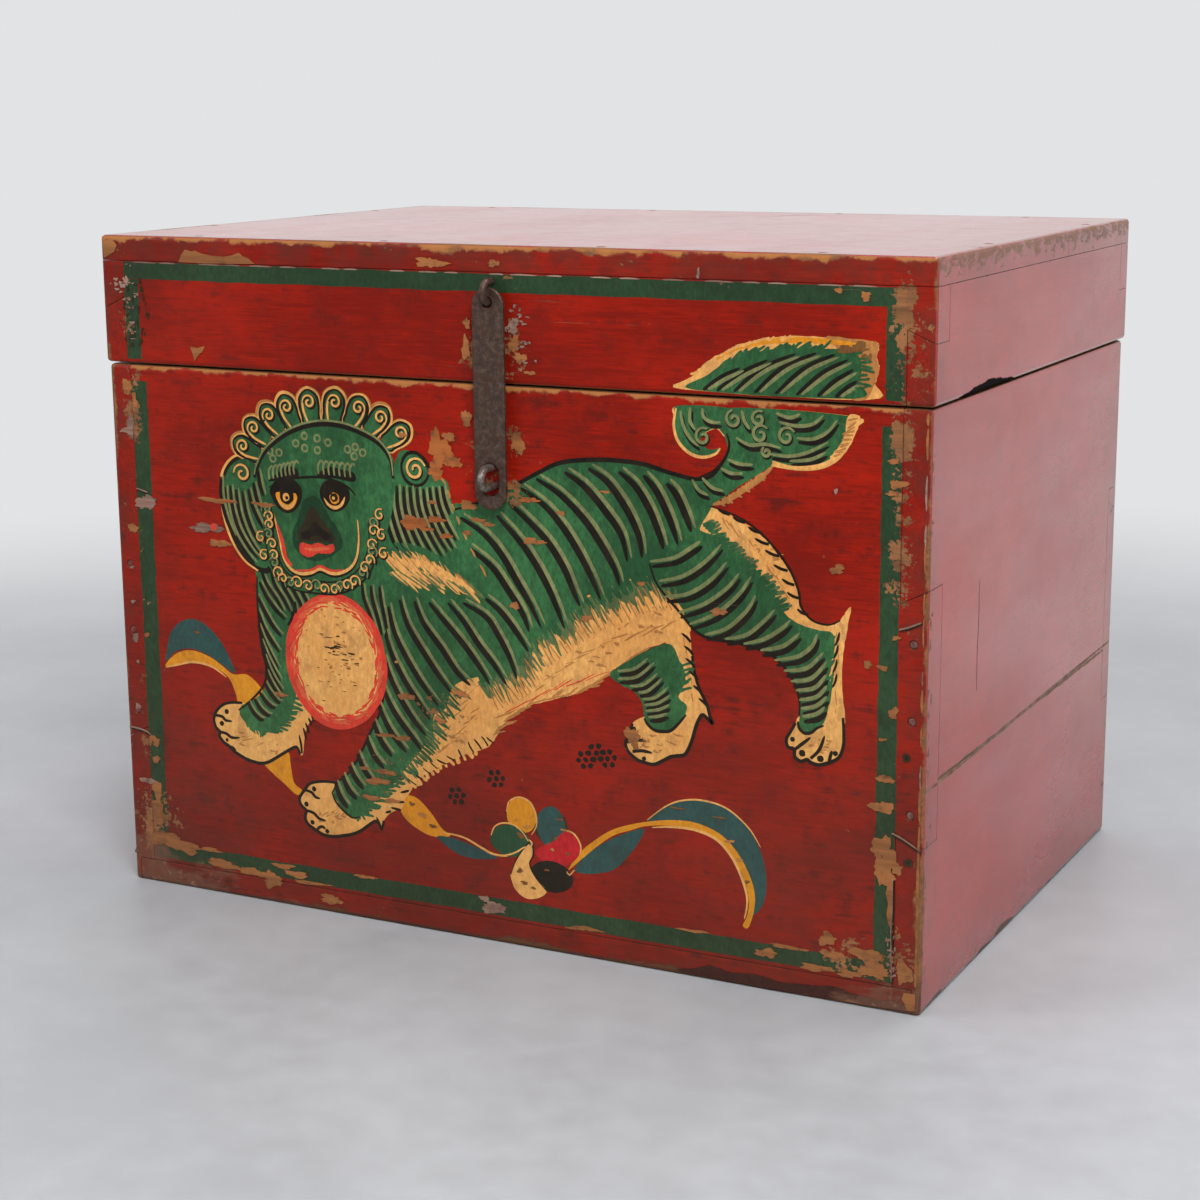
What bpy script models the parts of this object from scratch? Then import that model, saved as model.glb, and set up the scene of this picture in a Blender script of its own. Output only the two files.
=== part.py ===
"""A painted wooden trunk: dovetailed case, flat lid, iron loop hinges and an iron hasp.

Metres, +Z up, the front toward -Y. The origin lies on the floor, under the middle of the case.
"""

import math

import bmesh
import bpy
from mathutils import Matrix, Vector

# Outside sizes of the case and the lid
CASE_WIDTH = 0.530
CASE_DEPTH = 0.370
CASE_HEIGHT = 0.332
RIM_GAP = 0.001
LID_HEIGHT = 0.077
LID_OVERHANG_SIDE = 0.0015
LID_OVERHANG_FRONT = 0.001
LID_OVERHANG_BACK = 0.002

# Board thicknesses
CASE_SIDE = 0.0155
CASE_FRONT = 0.022
CASE_BACK = 0.018
BOTTOM_BOARD = 0.0145
TOP_BOARD = 0.015
RAIL_SIDE = 0.0155
RAIL_FRONT = 0.020
RAIL_BACK = 0.018

# Joinery: a tail is as high at its root as from ROOT_LOW to ROOT_HIGH and flares toward the corner
FIT = 0.0003
TAIL_ROOT_LOW = 0.1025
TAIL_ROOT_HIGH = 0.2285
TAIL_FLARE = 0.008
LID_TAIL_UP = 0.0395
LID_TAIL_FLARE = 0.007
SIDE_SEAM = 0.1285
SIDE_LIP = 0.0045
BOTTOM_SEAM = 0.035
TOP_SEAM = 0.048
ARRIS_ROUND = 0.0022
ARRIS_STEPS = 2

# Iron: staples bent from one wire, straps forged from one bar
WIRE_RADIUS = 0.0022
LOOP_RADIUS = 0.0056
CLINCH_GAP = 0.0004
CLINCH_LENGTH = 0.016
STRAP_WIDTH = 0.020
STRAP_THICKNESS = 0.0028
STRAP_EDGE = 0.0006
EYE_RADIUS = 0.0030
EYE_CENTRE = 0.0057
EYE_RIM = 0.0027

# Hasp on the front and the staple that it closes over
HASP_X = 0.0065
HASP_BELOW_TOP = 0.0255
HASP_STANDOFF = 0.005
HASP_REACH = 0.123
SLOT_RADIUS = 0.00575
SLOT_HEIGHT = 0.019
SLOT_FOOT = 0.008
CATCH_DROP = 0.0015
CATCH_STANDOFF = 0.0115

# Hinges on the back
HINGE_FROM_END = 0.115
HINGE_BELOW_RIM = 0.014
HINGE_REACH = 0.070
HINGE_NAIL_UP = (0.026, 0.054)

# Nails
NAIL_RADIUS = 0.0012
NAIL_HEAD_RADIUS = 0.0023
NAIL_HEAD = 0.0011
NAIL_POINT = 0.004
NAIL_SUNK = 0.0002
NAIL_ROOM = 0.0005
CORNER_NAIL = 0.044
LID_NAIL = 0.038
BOTTOM_NAIL = 0.034
HINGE_NAIL = 0.013
FRONT_NAILS_UP_TAIL = (0.1045, 0.0625, 0.0105)
BACK_NAILS_UP_TAIL = (0.0925, 0.0105)
LID_NAIL_FROM_END = 0.0665
LID_NAIL_FROM_MIDDLE = 0.070
LID_NAIL_FROM_FRONT = 0.106
LID_NAIL_FROM_BACK = 0.075
BOTTOM_NAIL_FROM_END = 0.105
BOTTOM_NAIL_FROM_FRONT = 0.095
BOTTOM_NAIL_FROM_BACK = 0.065

# Facets
ROUND_STEPS = 14
WIRE_STEPS = 12
BEND_STEPS = 6
LOOP_STEPS = 16
PAST = 0.002

# Where the faces come to lie
HALF_WIDTH = CASE_WIDTH / 2
HALF_DEPTH = CASE_DEPTH / 2
LID_LOW = CASE_HEIGHT + RIM_GAP
LID_TOP = LID_LOW + LID_HEIGHT
RAIL_TOP = LID_TOP - TOP_BOARD - FIT
LID_TAIL_ROOT = LID_LOW + LID_TAIL_UP
LID_HALF_WIDTH = HALF_WIDTH + LID_OVERHANG_SIDE
LID_FRONT = -HALF_DEPTH - LID_OVERHANG_FRONT
LID_BACK = HALF_DEPTH + LID_OVERHANG_BACK
FLOOR_TOP = BOTTOM_BOARD + FIT

# Joint axes, both along X
HINGE_AXIS = Vector((0.0, LID_BACK + FIT + STRAP_THICKNESS / 2, CASE_HEIGHT - HINGE_BELOW_RIM))
HASP_AXIS = Vector((HASP_X, LID_FRONT - HASP_STANDOFF, LID_TOP - HASP_BELOW_TOP))


def finish(name, colour, roughness, metallic=0.0):
    material = bpy.data.materials.new(name)
    material.use_nodes = True
    shader = material.node_tree.nodes["Principled BSDF"]
    shader.inputs["Base Color"].default_value = (*colour, 1.0)
    shader.inputs["Roughness"].default_value = roughness
    shader.inputs["Metallic"].default_value = metallic
    material.diffuse_color = (*colour, 1.0)
    return material


def add(name, bm, material, parent, origin=(0.0, 0.0, 0.0), turn=None):
    """One named object from a bmesh whose points are given about origin, before the turn."""
    bmesh.ops.recalc_face_normals(bm, faces=bm.faces)
    mesh = bpy.data.meshes.new(name)
    bm.to_mesh(mesh)
    bm.free()
    obj = bpy.data.objects.new(name, mesh)
    bpy.context.scene.collection.objects.link(obj)
    obj.parent = parent
    base = Vector(parent["place"]) if parent else Vector((0.0, 0.0, 0.0))
    obj.location = Vector(origin) - base
    if turn is not None:
        obj.rotation_euler = turn.to_euler()
    if material:
        mesh.materials.append(material)
    return obj


def axis_empty(name, place, parent=None):
    empty = bpy.data.objects.new(name, None)
    bpy.context.scene.collection.objects.link(empty)
    base = Vector(parent["place"]) if parent else Vector((0.0, 0.0, 0.0))
    empty.parent = parent
    empty.location = place - base
    empty["place"] = tuple(place)
    return empty


def smooth(obj):
    for polygon in obj.data.polygons:
        polygon.use_smooth = True
    return obj


def loft(bm, first, last):
    """A closed body between two rings of as many points."""
    a = [bm.verts.new(p) for p in first]
    b = [bm.verts.new(p) for p in last]
    bm.faces.new(a)
    bm.faces.new(b[::-1])
    count = len(a)
    for i in range(count):
        bm.faces.new((a[i], b[i], b[(i + 1) % count], a[(i + 1) % count]))


def box_into(bm, low, high):
    ring = [(low[0], low[1]), (high[0], low[1]), (high[0], high[1]), (low[0], high[1])]
    loft(bm, [(x, y, low[2]) for x, y in ring], [(x, y, high[2]) for x, y in ring])


def plate_into(bm, outline, front, back):
    """A board with an outline in X and Z, from front to back along Y."""
    loft(bm, [(x, front, z) for x, z in outline], [(x, back, z) for x, z in outline])


def round_arrises(bm, faces):
    """Rounds the edges that lie in two of the outer faces, each given as an axis and its value."""
    near = 1e-6
    edges = []
    for edge in bm.edges:
        shared = [f for f in faces if all(abs(v.co[f[0]] - f[1]) < near for v in edge.verts)]
        if len(shared) > 1:
            edges.append(edge)
    bmesh.ops.bevel(
        bm, geom=edges, offset=ARRIS_ROUND, segments=ARRIS_STEPS, profile=0.5, affect="EDGES",
        clamp_overlap=True,
    )


def outer_faces(half_width, front, back, low, high):
    """The six outer faces of the case or the lid, each as an axis and its value."""
    return [(0, -half_width), (0, half_width), (1, front), (1, back), (2, low), (2, high)]


case_faces = outer_faces(HALF_WIDTH, -HALF_DEPTH, HALF_DEPTH, 0.0, CASE_HEIGHT)
lid_faces = outer_faces(LID_HALF_WIDTH, LID_FRONT, LID_BACK, LID_LOW, LID_TOP)


def block(name, low, high, faces, material, parent):
    bm = bmesh.new()
    box_into(bm, low, high)
    round_arrises(bm, faces)
    base = parent["place"] if parent else (0.0, 0.0, 0.0)
    bmesh.ops.translate(bm, verts=bm.verts, vec=-Vector(base))
    return add(name, bm, material, parent, base)


def board(name, outline, front, back, faces, material, parent):
    bm = bmesh.new()
    plate_into(bm, outline, front, back)
    round_arrises(bm, faces)
    base = parent["place"] if parent else (0.0, 0.0, 0.0)
    bmesh.ops.translate(bm, verts=bm.verts, vec=-Vector(base))
    return add(name, bm, material, parent, base)


def cut(obj, name, fill):
    """Takes away from obj what fill draws, in world coordinates."""
    bm = bmesh.new()
    fill(bm)
    cutter = add(f"{obj.name}.{name}", bm, None, None)
    cutter.hide_render = True
    cutter.display_type = "WIRE"
    modifier = obj.modifiers.new(name, "BOOLEAN")
    modifier.operation = "DIFFERENCE"
    modifier.solver = "EXACT"
    modifier.object = cutter


def tail_end(side, root, half, low, high, flare, shrink):
    """The points of one tail's end, from low to high; side is 1 at the right and -1 at the left."""
    return [
        (side * root, low + shrink), (side * half, low - flare + shrink),
        (side * half, high + flare - shrink), (side * root, high - shrink),
    ]


def case_board_outline():
    root = HALF_WIDTH - CASE_SIDE - FIT
    right = [(root, FLOOR_TOP)]
    right += tail_end(1, root, HALF_WIDTH, TAIL_ROOT_LOW, TAIL_ROOT_HIGH, TAIL_FLARE, FIT)
    right += [(root, CASE_HEIGHT)]
    return right + [(-x, z) for x, z in reversed(right)]


def case_socket(bm, side, face, inward):
    """The space for one tail in a side board, cut in from the front or back face by inward."""
    reach = CASE_SIDE + PAST
    slope = TAIL_FLARE / (CASE_SIDE + FIT)
    root = HALF_WIDTH - CASE_SIDE - FIT
    more = slope * (reach + PAST + FIT)
    less = slope * PAST
    outline = [
        (side * (root - PAST), TAIL_ROOT_LOW + less),
        (side * (root + reach + FIT), TAIL_ROOT_LOW - more + less),
        (side * (root + reach + FIT), TAIL_ROOT_HIGH + more - less),
        (side * (root - PAST), TAIL_ROOT_HIGH - less),
    ]
    outward = -PAST if inward > 0 else PAST
    plate_into(bm, outline, face + outward, face + inward)


def lid_rail_outline():
    root = LID_HALF_WIDTH - RAIL_SIDE - FIT
    right = [(root, LID_LOW), (root, LID_TAIL_ROOT + FIT)]
    right += [(LID_HALF_WIDTH, LID_TAIL_ROOT - LID_TAIL_FLARE + FIT), (LID_HALF_WIDTH, RAIL_TOP)]
    return right + [(-x, z) for x, z in reversed(right)]


def lid_socket(bm, side, face, inward):
    reach = RAIL_SIDE + PAST
    slope = LID_TAIL_FLARE / (RAIL_SIDE + FIT)
    root = LID_HALF_WIDTH - RAIL_SIDE - FIT
    more = slope * (reach + FIT)
    less = slope * PAST
    outline = [
        (side * (root - PAST), LID_TAIL_ROOT + less), (side * (root + reach + FIT), LID_TAIL_ROOT - more),
        (side * (root + reach + FIT), RAIL_TOP + PAST), (side * (root - PAST), RAIL_TOP + PAST),
    ]
    outward = -PAST if inward > 0 else PAST
    plate_into(bm, outline, face + outward, face + inward)


def turned(bm, profile, place, direction):
    """A round body about direction from place; profile lists radius and distance along it."""
    along = direction.normalized()
    across = along.orthogonal().normalized()
    up = along.cross(across)
    rings = []
    for radius, distance in profile:
        ring = []
        for i in range(ROUND_STEPS):
            angle = 2 * math.pi * i / ROUND_STEPS
            offset = across * math.cos(angle) + up * math.sin(angle)
            ring.append(bm.verts.new(place + along * distance + offset * radius))
        rings.append(ring)
    bm.faces.new(rings[0])
    bm.faces.new(rings[-1][::-1])
    for a, b in zip(rings, rings[1:]):
        for i in range(ROUND_STEPS):
            j = (i + 1) % ROUND_STEPS
            bm.faces.new((a[i], b[i], b[j], a[j]))


DOWN = Vector((0.0, 0.0, -1.0))
holes = {}


def drill(boards, fill):
    for obj in boards:
        holes.setdefault(obj, []).append(fill)


def nail(name, place, direction, length, boards, material, parent):
    """A nail whose head is let in at place and whose point goes along direction."""
    direction = Vector(direction)
    bm = bmesh.new()
    turned(
        bm,
        [
            (NAIL_HEAD_RADIUS * 0.7, NAIL_SUNK), (NAIL_HEAD_RADIUS, NAIL_SUNK + NAIL_HEAD / 3),
            (NAIL_HEAD_RADIUS, NAIL_HEAD), (NAIL_RADIUS, NAIL_HEAD),
            (NAIL_RADIUS, length - NAIL_POINT), (NAIL_RADIUS / 4, length),
        ],
        Vector((0.0, 0.0, 0.0)), DOWN,
    )
    turn = DOWN.rotation_difference(direction)
    obj = smooth(add(name, bm, material, parent, place, turn))

    def hole(cutter):
        turned(
            cutter,
            [
                (NAIL_HEAD_RADIUS + FIT, -PAST), (NAIL_HEAD_RADIUS + FIT, NAIL_HEAD + FIT),
                (NAIL_RADIUS + FIT, NAIL_HEAD + FIT), (NAIL_RADIUS + FIT, length + NAIL_ROOM),
            ],
            Vector(place), direction,
        )

    drill(boards, hole)
    return obj


def swept(bm, path, radius):
    """A round wire along a path of points."""
    points = [Vector(p) for p in path]
    tangents = []
    for i in range(len(points)):
        before = points[max(i - 1, 0)]
        after = points[min(i + 1, len(points) - 1)]
        tangents.append((after - before).normalized())
    across = tangents[0].orthogonal().normalized()
    rings = []
    for i, point in enumerate(points):
        if i:
            across = tangents[i - 1].rotation_difference(tangents[i]) @ across
        up = tangents[i].cross(across)
        ring = []
        for k in range(WIRE_STEPS):
            angle = 2 * math.pi * k / WIRE_STEPS
            ring.append(bm.verts.new(point + (across * math.cos(angle) + up * math.sin(angle)) * radius))
        rings.append(ring)
    bm.faces.new(rings[0])
    bm.faces.new(rings[-1][::-1])
    for a, b in zip(rings, rings[1:]):
        for k in range(WIRE_STEPS):
            j = (k + 1) % WIRE_STEPS
            bm.faces.new((a[k], b[k], b[j], a[j]))


def staple(name, loop, outward, face, inside, boards, material, parent):
    """A wire loop about the X axis through loop, with legs through the board and clinched inside.

    outward is -1 at the front and 1 at the back; face and inside are the board's two faces in Y.
    """
    bend = WIRE_RADIUS + CLINCH_GAP

    def leg(height, sideways):
        """From the clinched end to the start of the loop."""
        points = [(loop.x + sideways * CLINCH_LENGTH, inside - outward * bend, height)]
        for i in range(BEND_STEPS + 1):
            angle = math.pi / 2 * (1 - i / BEND_STEPS)
            side = loop.x + sideways * bend * (1 - math.cos(angle))
            points.append((side, inside - outward * bend * math.sin(angle), height))
        return points

    path = leg(loop.z - LOOP_RADIUS, 1)
    for i in range(LOOP_STEPS + 1):
        angle = math.pi * i / LOOP_STEPS
        away = LOOP_RADIUS * math.sin(angle)
        path.append((loop.x, loop.y + outward * away, loop.z - LOOP_RADIUS * math.cos(angle)))
    path += reversed(leg(loop.z + LOOP_RADIUS, -1))
    bm = bmesh.new()
    swept(bm, [Vector(p) - loop for p in path], WIRE_RADIUS)
    obj = smooth(add(name, bm, material, parent, loop))

    def hole(cutter):
        for height in (loop.z - LOOP_RADIUS, loop.z + LOOP_RADIUS):
            start = Vector((loop.x, face + outward * PAST, height))
            depth = abs(inside - face) + 2 * PAST
            profile = [(WIRE_RADIUS + FIT, 0.0), (WIRE_RADIUS + FIT, depth)]
            turned(cutter, profile, start, Vector((0.0, -outward, 0.0)))

    drill(boards, hole)
    return obj


def stadium(centre, rise, radius):
    """A slot outline in X and Z: two half circles of radius, with rise between their centres."""
    points = []
    for i in range(ROUND_STEPS + 1):
        angle = math.pi * i / ROUND_STEPS
        points.append((radius * math.cos(angle), centre + rise / 2 + radius * math.sin(angle)))
    for i in range(ROUND_STEPS + 1):
        angle = math.pi + math.pi * i / ROUND_STEPS
        points.append((radius * math.cos(angle), centre - rise / 2 + radius * math.sin(angle)))
    if rise == 0:
        del points[ROUND_STEPS + 1]
        points.pop()
    return points


def strap(name, reach, openings, place, turn, material, parent):
    """A flat bar hanging down from its joint axis, round at both ends, with its thickness along Y.

    openings lists a centre below the axis, a rise and a radius.
    """
    half = STRAP_WIDTH / 2
    top = EYE_RIM
    layers = [
        (-STRAP_THICKNESS / 2, STRAP_EDGE), (-STRAP_THICKNESS / 2 + STRAP_EDGE, 0.0),
        (STRAP_THICKNESS / 2 - STRAP_EDGE, 0.0), (STRAP_THICKNESS / 2, STRAP_EDGE),
    ]
    shapes = [((top - reach) / 2, top + reach - STRAP_WIDTH, half, -1)]
    shapes += [(-centre, rise, radius, 1) for centre, rise, radius in openings]
    bm = bmesh.new()
    caps = {0: [], len(layers) - 1: []}
    for centre, rise, radius, sign in shapes:
        rings = []
        for y, inset in layers:
            outline = stadium(centre, rise, radius + sign * inset)
            rings.append([bm.verts.new((x, y, z)) for x, z in outline])
        count = len(rings[0])
        for a, b in zip(rings, rings[1:]):
            for i in range(count):
                bm.faces.new((a[i], b[i], b[(i + 1) % count], a[(i + 1) % count]))
        for level in caps:
            ring = rings[level]
            caps[level] += [bm.edges.get((ring[i], ring[(i + 1) % count])) for i in range(count)]
    for edges in caps.values():
        bmesh.ops.triangle_fill(bm, edges=edges, use_beauty=True, use_dissolve=False)
    return add(name, bm, material, parent, place, turn)


for old in list(bpy.data.objects):
    bpy.data.objects.remove(old, do_unlink=True)

red_paint = finish("red_paint", (0.30, 0.016, 0.012), 0.40)
plain_wood = finish("plain_wood", (0.34, 0.19, 0.085), 0.70)
wrought_iron = finish("wrought_iron", (0.065, 0.052, 0.047), 0.55, 0.8)
nail_iron = finish("nail_iron", (0.14, 0.11, 0.09), 0.60, 0.7)

lid_axis = axis_empty("lid_axis", HINGE_AXIS)
hasp_axis = axis_empty("hasp_axis", HASP_AXIS, lid_axis)

# Case: front and back carry the tails, the two boards of each side carry the pins
case_outline = case_board_outline()
case_front = board(
    "case_front", case_outline, -HALF_DEPTH, -HALF_DEPTH + CASE_FRONT, case_faces, red_paint, None
)
case_back = board(
    "case_back", case_outline, HALF_DEPTH - CASE_BACK, HALF_DEPTH, case_faces, red_paint, None
)
bottom_reach = HALF_WIDTH - SIDE_LIP - FIT
bottom_front = block(
    "bottom_front_board", (-bottom_reach, -HALF_DEPTH, 0.0),
    (bottom_reach, BOTTOM_SEAM - FIT / 2, BOTTOM_BOARD), case_faces, plain_wood, None,
)
bottom_rear = block(
    "bottom_rear_board", (-bottom_reach, BOTTOM_SEAM + FIT / 2, 0.0),
    (bottom_reach, HALF_DEPTH, BOTTOM_BOARD), case_faces, plain_wood, None,
)
case_sides = {}
for side, label in ((-1, "left"), (1, "right")):
    inner, outer = sorted((side * (HALF_WIDTH - CASE_SIDE), side * HALF_WIDTH))
    for part, low, high in (("lower", 0.0, SIDE_SEAM - FIT / 2), ("upper", SIDE_SEAM + FIT / 2, CASE_HEIGHT)):
        obj = block(
            f"case_{label}_{part}_board", (inner, -HALF_DEPTH, low), (outer, HALF_DEPTH, high),
            case_faces, red_paint, None,
        )

        def joinery(bm, side=side, part=part):
            case_socket(bm, side, -HALF_DEPTH, CASE_FRONT + FIT)
            case_socket(bm, side, HALF_DEPTH, -CASE_BACK - FIT)
            if part == "lower":
                ends = sorted((side * (HALF_WIDTH - CASE_SIDE - PAST), side * (HALF_WIDTH - SIDE_LIP)))
                box_into(bm, (ends[0], -HALF_DEPTH - PAST, -PAST), (ends[1], HALF_DEPTH + PAST, FLOOR_TOP))

        cut(obj, "joinery", joinery)
        case_sides[label, part] = obj

# Lid: four rails with a half tail at each corner, and a top of two boards nailed on
lid_outline = lid_rail_outline()
lid_front = board(
    "lid_front_rail", lid_outline, LID_FRONT, LID_FRONT + RAIL_FRONT, lid_faces, red_paint, lid_axis
)
lid_back = board(
    "lid_back_rail", lid_outline, LID_BACK - RAIL_BACK, LID_BACK, lid_faces, red_paint, lid_axis
)
lid_sides = {}
for side, label in ((-1, "left"), (1, "right")):
    inner, outer = sorted((side * (LID_HALF_WIDTH - RAIL_SIDE), side * LID_HALF_WIDTH))
    obj = block(
        f"lid_{label}_rail", (inner, LID_FRONT, LID_LOW), (outer, LID_BACK, RAIL_TOP),
        lid_faces, red_paint, lid_axis,
    )

    def rail_joinery(bm, side=side):
        lid_socket(bm, side, LID_FRONT, RAIL_FRONT + FIT)
        lid_socket(bm, side, LID_BACK, -RAIL_BACK - FIT)

    cut(obj, "joinery", rail_joinery)
    lid_sides[label] = obj
lid_top_front = block(
    "lid_top_front_board", (-LID_HALF_WIDTH, LID_FRONT, LID_TOP - TOP_BOARD),
    (LID_HALF_WIDTH, TOP_SEAM - FIT / 2, LID_TOP), lid_faces, red_paint, lid_axis,
)
lid_top_rear = block(
    "lid_top_rear_board", (-LID_HALF_WIDTH, TOP_SEAM + FIT / 2, LID_TOP - TOP_BOARD),
    (LID_HALF_WIDTH, LID_BACK, LID_TOP), lid_faces, red_paint, lid_axis,
)

# Hasp: a strap hung on one staple and closed over another
slot_centre = HASP_REACH - SLOT_FOOT - SLOT_HEIGHT / 2
strap("hasp_strap", HASP_REACH, [
    (EYE_CENTRE, 0.0, EYE_RADIUS), (slot_centre, SLOT_HEIGHT - 2 * SLOT_RADIUS, SLOT_RADIUS),
], HASP_AXIS, None, wrought_iron, hasp_axis)
staple("hasp_staple", HASP_AXIS, -1, LID_FRONT, LID_FRONT + RAIL_FRONT, [lid_front], wrought_iron, lid_axis)
catch = Vector((HASP_X, -HALF_DEPTH - CATCH_STANDOFF, HASP_AXIS.z - slot_centre + CATCH_DROP))
staple("catch_staple", catch, -1, -HALF_DEPTH, -HALF_DEPTH + CASE_FRONT, [case_front], wrought_iron, None)

# Hinges: the same eye and staple, with the strap nailed to the lid
half_turn = Matrix.Rotation(math.pi, 3, "Y")
for side, label in ((-1, "left"), (1, "right")):
    place = HINGE_AXIS + Vector((side * (HALF_WIDTH - HINGE_FROM_END), 0.0, 0.0))
    openings = [(EYE_CENTRE, 0.0, EYE_RADIUS)]
    openings += [(up, 0.0, NAIL_RADIUS + FIT) for up in HINGE_NAIL_UP]
    strap(f"hinge_{label}_strap", HINGE_REACH, openings, place, half_turn, wrought_iron, lid_axis)
    staple(
        f"hinge_{label}_staple", place, 1, HALF_DEPTH, HALF_DEPTH - CASE_BACK, [case_back], wrought_iron, None
    )
    outside = LID_BACK + FIT + STRAP_THICKNESS + NAIL_HEAD + FIT
    for number, up in enumerate(HINGE_NAIL_UP, 1):
        head = Vector((place.x, outside, place.z + up))
        nail(
            f"hinge_{label}_nail_{number}", head, (0.0, -1.0, 0.0), HINGE_NAIL, [lid_back], nail_iron, lid_axis
        )

# Corner nails, through the tails into the ends of the side boards
nail_x = HALF_WIDTH - CASE_SIDE / 2
for side, label in ((-1, "left"), (1, "right")):
    for face, front, heights in ((-1, "front", FRONT_NAILS_UP_TAIL), (1, "back", BACK_NAILS_UP_TAIL)):
        tail_board = case_front if face < 0 else case_back
        for number, up in enumerate(heights, 1):
            height = TAIL_ROOT_LOW + up
            part = "upper" if height > SIDE_SEAM else "lower"
            nail(
                f"corner_nail_{front}_{label}_{number}", (side * nail_x, face * HALF_DEPTH, height),
                (0.0, -face, 0.0), CORNER_NAIL, [tail_board, case_sides[label, part]], nail_iron, None,
            )

# Lid nails, down through the top boards into the rails
lid_nail_end = LID_HALF_WIDTH - LID_NAIL_FROM_END
for number, x in enumerate((-lid_nail_end, -LID_NAIL_FROM_MIDDLE, LID_NAIL_FROM_MIDDLE, lid_nail_end), 1):
    nail(
        f"lid_nail_front_{number}", (x, LID_FRONT + RAIL_FRONT / 2, LID_TOP), DOWN, LID_NAIL,
        [lid_top_front, lid_front], nail_iron, lid_axis,
    )
    nail(
        f"lid_nail_back_{number}", (x, LID_BACK - RAIL_BACK / 2, LID_TOP), DOWN, LID_NAIL,
        [lid_top_rear, lid_back], nail_iron, lid_axis,
    )
for side, label in ((-1, "left"), (1, "right")):
    for number, y in enumerate((LID_FRONT + LID_NAIL_FROM_FRONT, LID_BACK - LID_NAIL_FROM_BACK), 1):
        top = lid_top_front if y < TOP_SEAM else lid_top_rear
        nail(
            f"lid_nail_{label}_{number}", (side * (LID_HALF_WIDTH - RAIL_SIDE / 2), y, LID_TOP), DOWN,
            LID_NAIL, [top, lid_sides[label]], nail_iron, lid_axis,
        )

# Bottom nails, up through the bottom boards into the walls that stand on them
bottom_nail_end = HALF_WIDTH - BOTTOM_NAIL_FROM_END
for number, x in enumerate((-bottom_nail_end, bottom_nail_end), 1):
    nail(
        f"bottom_nail_front_{number}", (x, -HALF_DEPTH + CASE_FRONT / 2, 0.0), -DOWN, BOTTOM_NAIL,
        [bottom_front, case_front], nail_iron, None,
    )
    nail(
        f"bottom_nail_back_{number}", (x, HALF_DEPTH - CASE_BACK / 2, 0.0), -DOWN, BOTTOM_NAIL,
        [bottom_rear, case_back], nail_iron, None,
    )
for side, label in ((-1, "left"), (1, "right")):
    for number, y in enumerate((-HALF_DEPTH + BOTTOM_NAIL_FROM_FRONT, HALF_DEPTH - BOTTOM_NAIL_FROM_BACK), 1):
        under = bottom_front if y < BOTTOM_SEAM else bottom_rear
        nail(
            f"bottom_nail_{label}_{number}", (side * (HALF_WIDTH - (CASE_SIDE + SIDE_LIP) / 2), y, 0.0),
            -DOWN, BOTTOM_NAIL, [under, case_sides[label, "lower"]], nail_iron, None,
        )


def fill_all(fills):
    def fill(bm):
        for one in fills:
            one(bm)

    return fill


for drilled, fills in holes.items():
    cut(drilled, "holes", fill_all(fills))
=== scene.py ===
# %% [markdown]
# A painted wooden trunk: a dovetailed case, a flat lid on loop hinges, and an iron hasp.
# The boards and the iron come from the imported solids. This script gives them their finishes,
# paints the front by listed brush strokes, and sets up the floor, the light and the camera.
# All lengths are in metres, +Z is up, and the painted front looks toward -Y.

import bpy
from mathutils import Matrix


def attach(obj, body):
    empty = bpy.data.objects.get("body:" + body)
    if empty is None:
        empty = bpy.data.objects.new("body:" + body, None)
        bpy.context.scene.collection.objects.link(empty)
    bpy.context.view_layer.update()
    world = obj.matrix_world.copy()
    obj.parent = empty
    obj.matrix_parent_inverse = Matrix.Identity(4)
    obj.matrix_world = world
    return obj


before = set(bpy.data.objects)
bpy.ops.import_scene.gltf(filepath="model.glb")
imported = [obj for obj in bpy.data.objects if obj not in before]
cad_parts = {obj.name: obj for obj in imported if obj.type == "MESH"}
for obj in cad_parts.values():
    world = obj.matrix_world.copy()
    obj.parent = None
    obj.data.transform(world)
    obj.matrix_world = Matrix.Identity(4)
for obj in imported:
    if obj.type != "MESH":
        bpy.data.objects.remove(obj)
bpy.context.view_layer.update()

import math
import random

import bmesh
import bpy
from mathutils import Matrix, Vector
from mathutils.geometry import tessellate_polygon

# %% [markdown]
# The camera stands a little above the lid, to the right of the middle, and looks down by about twelve
# degrees. Its place was worked out from the straight edges of the trunk, so that the corners of the
# boards fall where the photograph has them. Three axes make up its turn: right, up and backward.

# %% Camera
IMAGE_PIXELS = 1200
FOCAL_PIXELS = 2352.8
SENSOR_MM = 36.0
CAMERA_PLACE = Vector((0.6606, -1.3314, 0.4958))
YAW, PITCH, ROLL = (math.radians(angle) for angle in (27.175, -12.323, -0.451))

forward = Vector((-math.sin(YAW) * math.cos(PITCH), math.cos(YAW) * math.cos(PITCH), math.sin(PITCH)))
level_right = Vector((math.cos(YAW), math.sin(YAW), 0.0))
level_up = level_right.cross(forward)
right = math.cos(ROLL) * level_right + math.sin(ROLL) * level_up
up = math.cos(ROLL) * level_up - math.sin(ROLL) * level_right
camera_data = bpy.data.cameras.new("camera")
camera_data.sensor_width = SENSOR_MM
camera_data.lens = SENSOR_MM * FOCAL_PIXELS / IMAGE_PIXELS
camera = bpy.data.objects.new("camera", camera_data)
turn = Matrix((right, up, -forward)).transposed().to_4x4()
camera.matrix_world = Matrix.Translation(CAMERA_PLACE) @ turn
bpy.context.scene.collection.objects.link(camera)
bpy.context.scene.camera = camera
bpy.context.scene.view_settings.view_transform = "Standard"
print("lens", round(camera_data.lens, 2), "mm")

# %% [markdown]
# Finishes are built from nodes. A small class keeps the wiring short: each of its words makes a node,
# sets its values, links what is already a socket, and hands back an output. Shared effects become
# node groups, so that one edit changes every board that uses them.

# %% Node helpers


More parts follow.
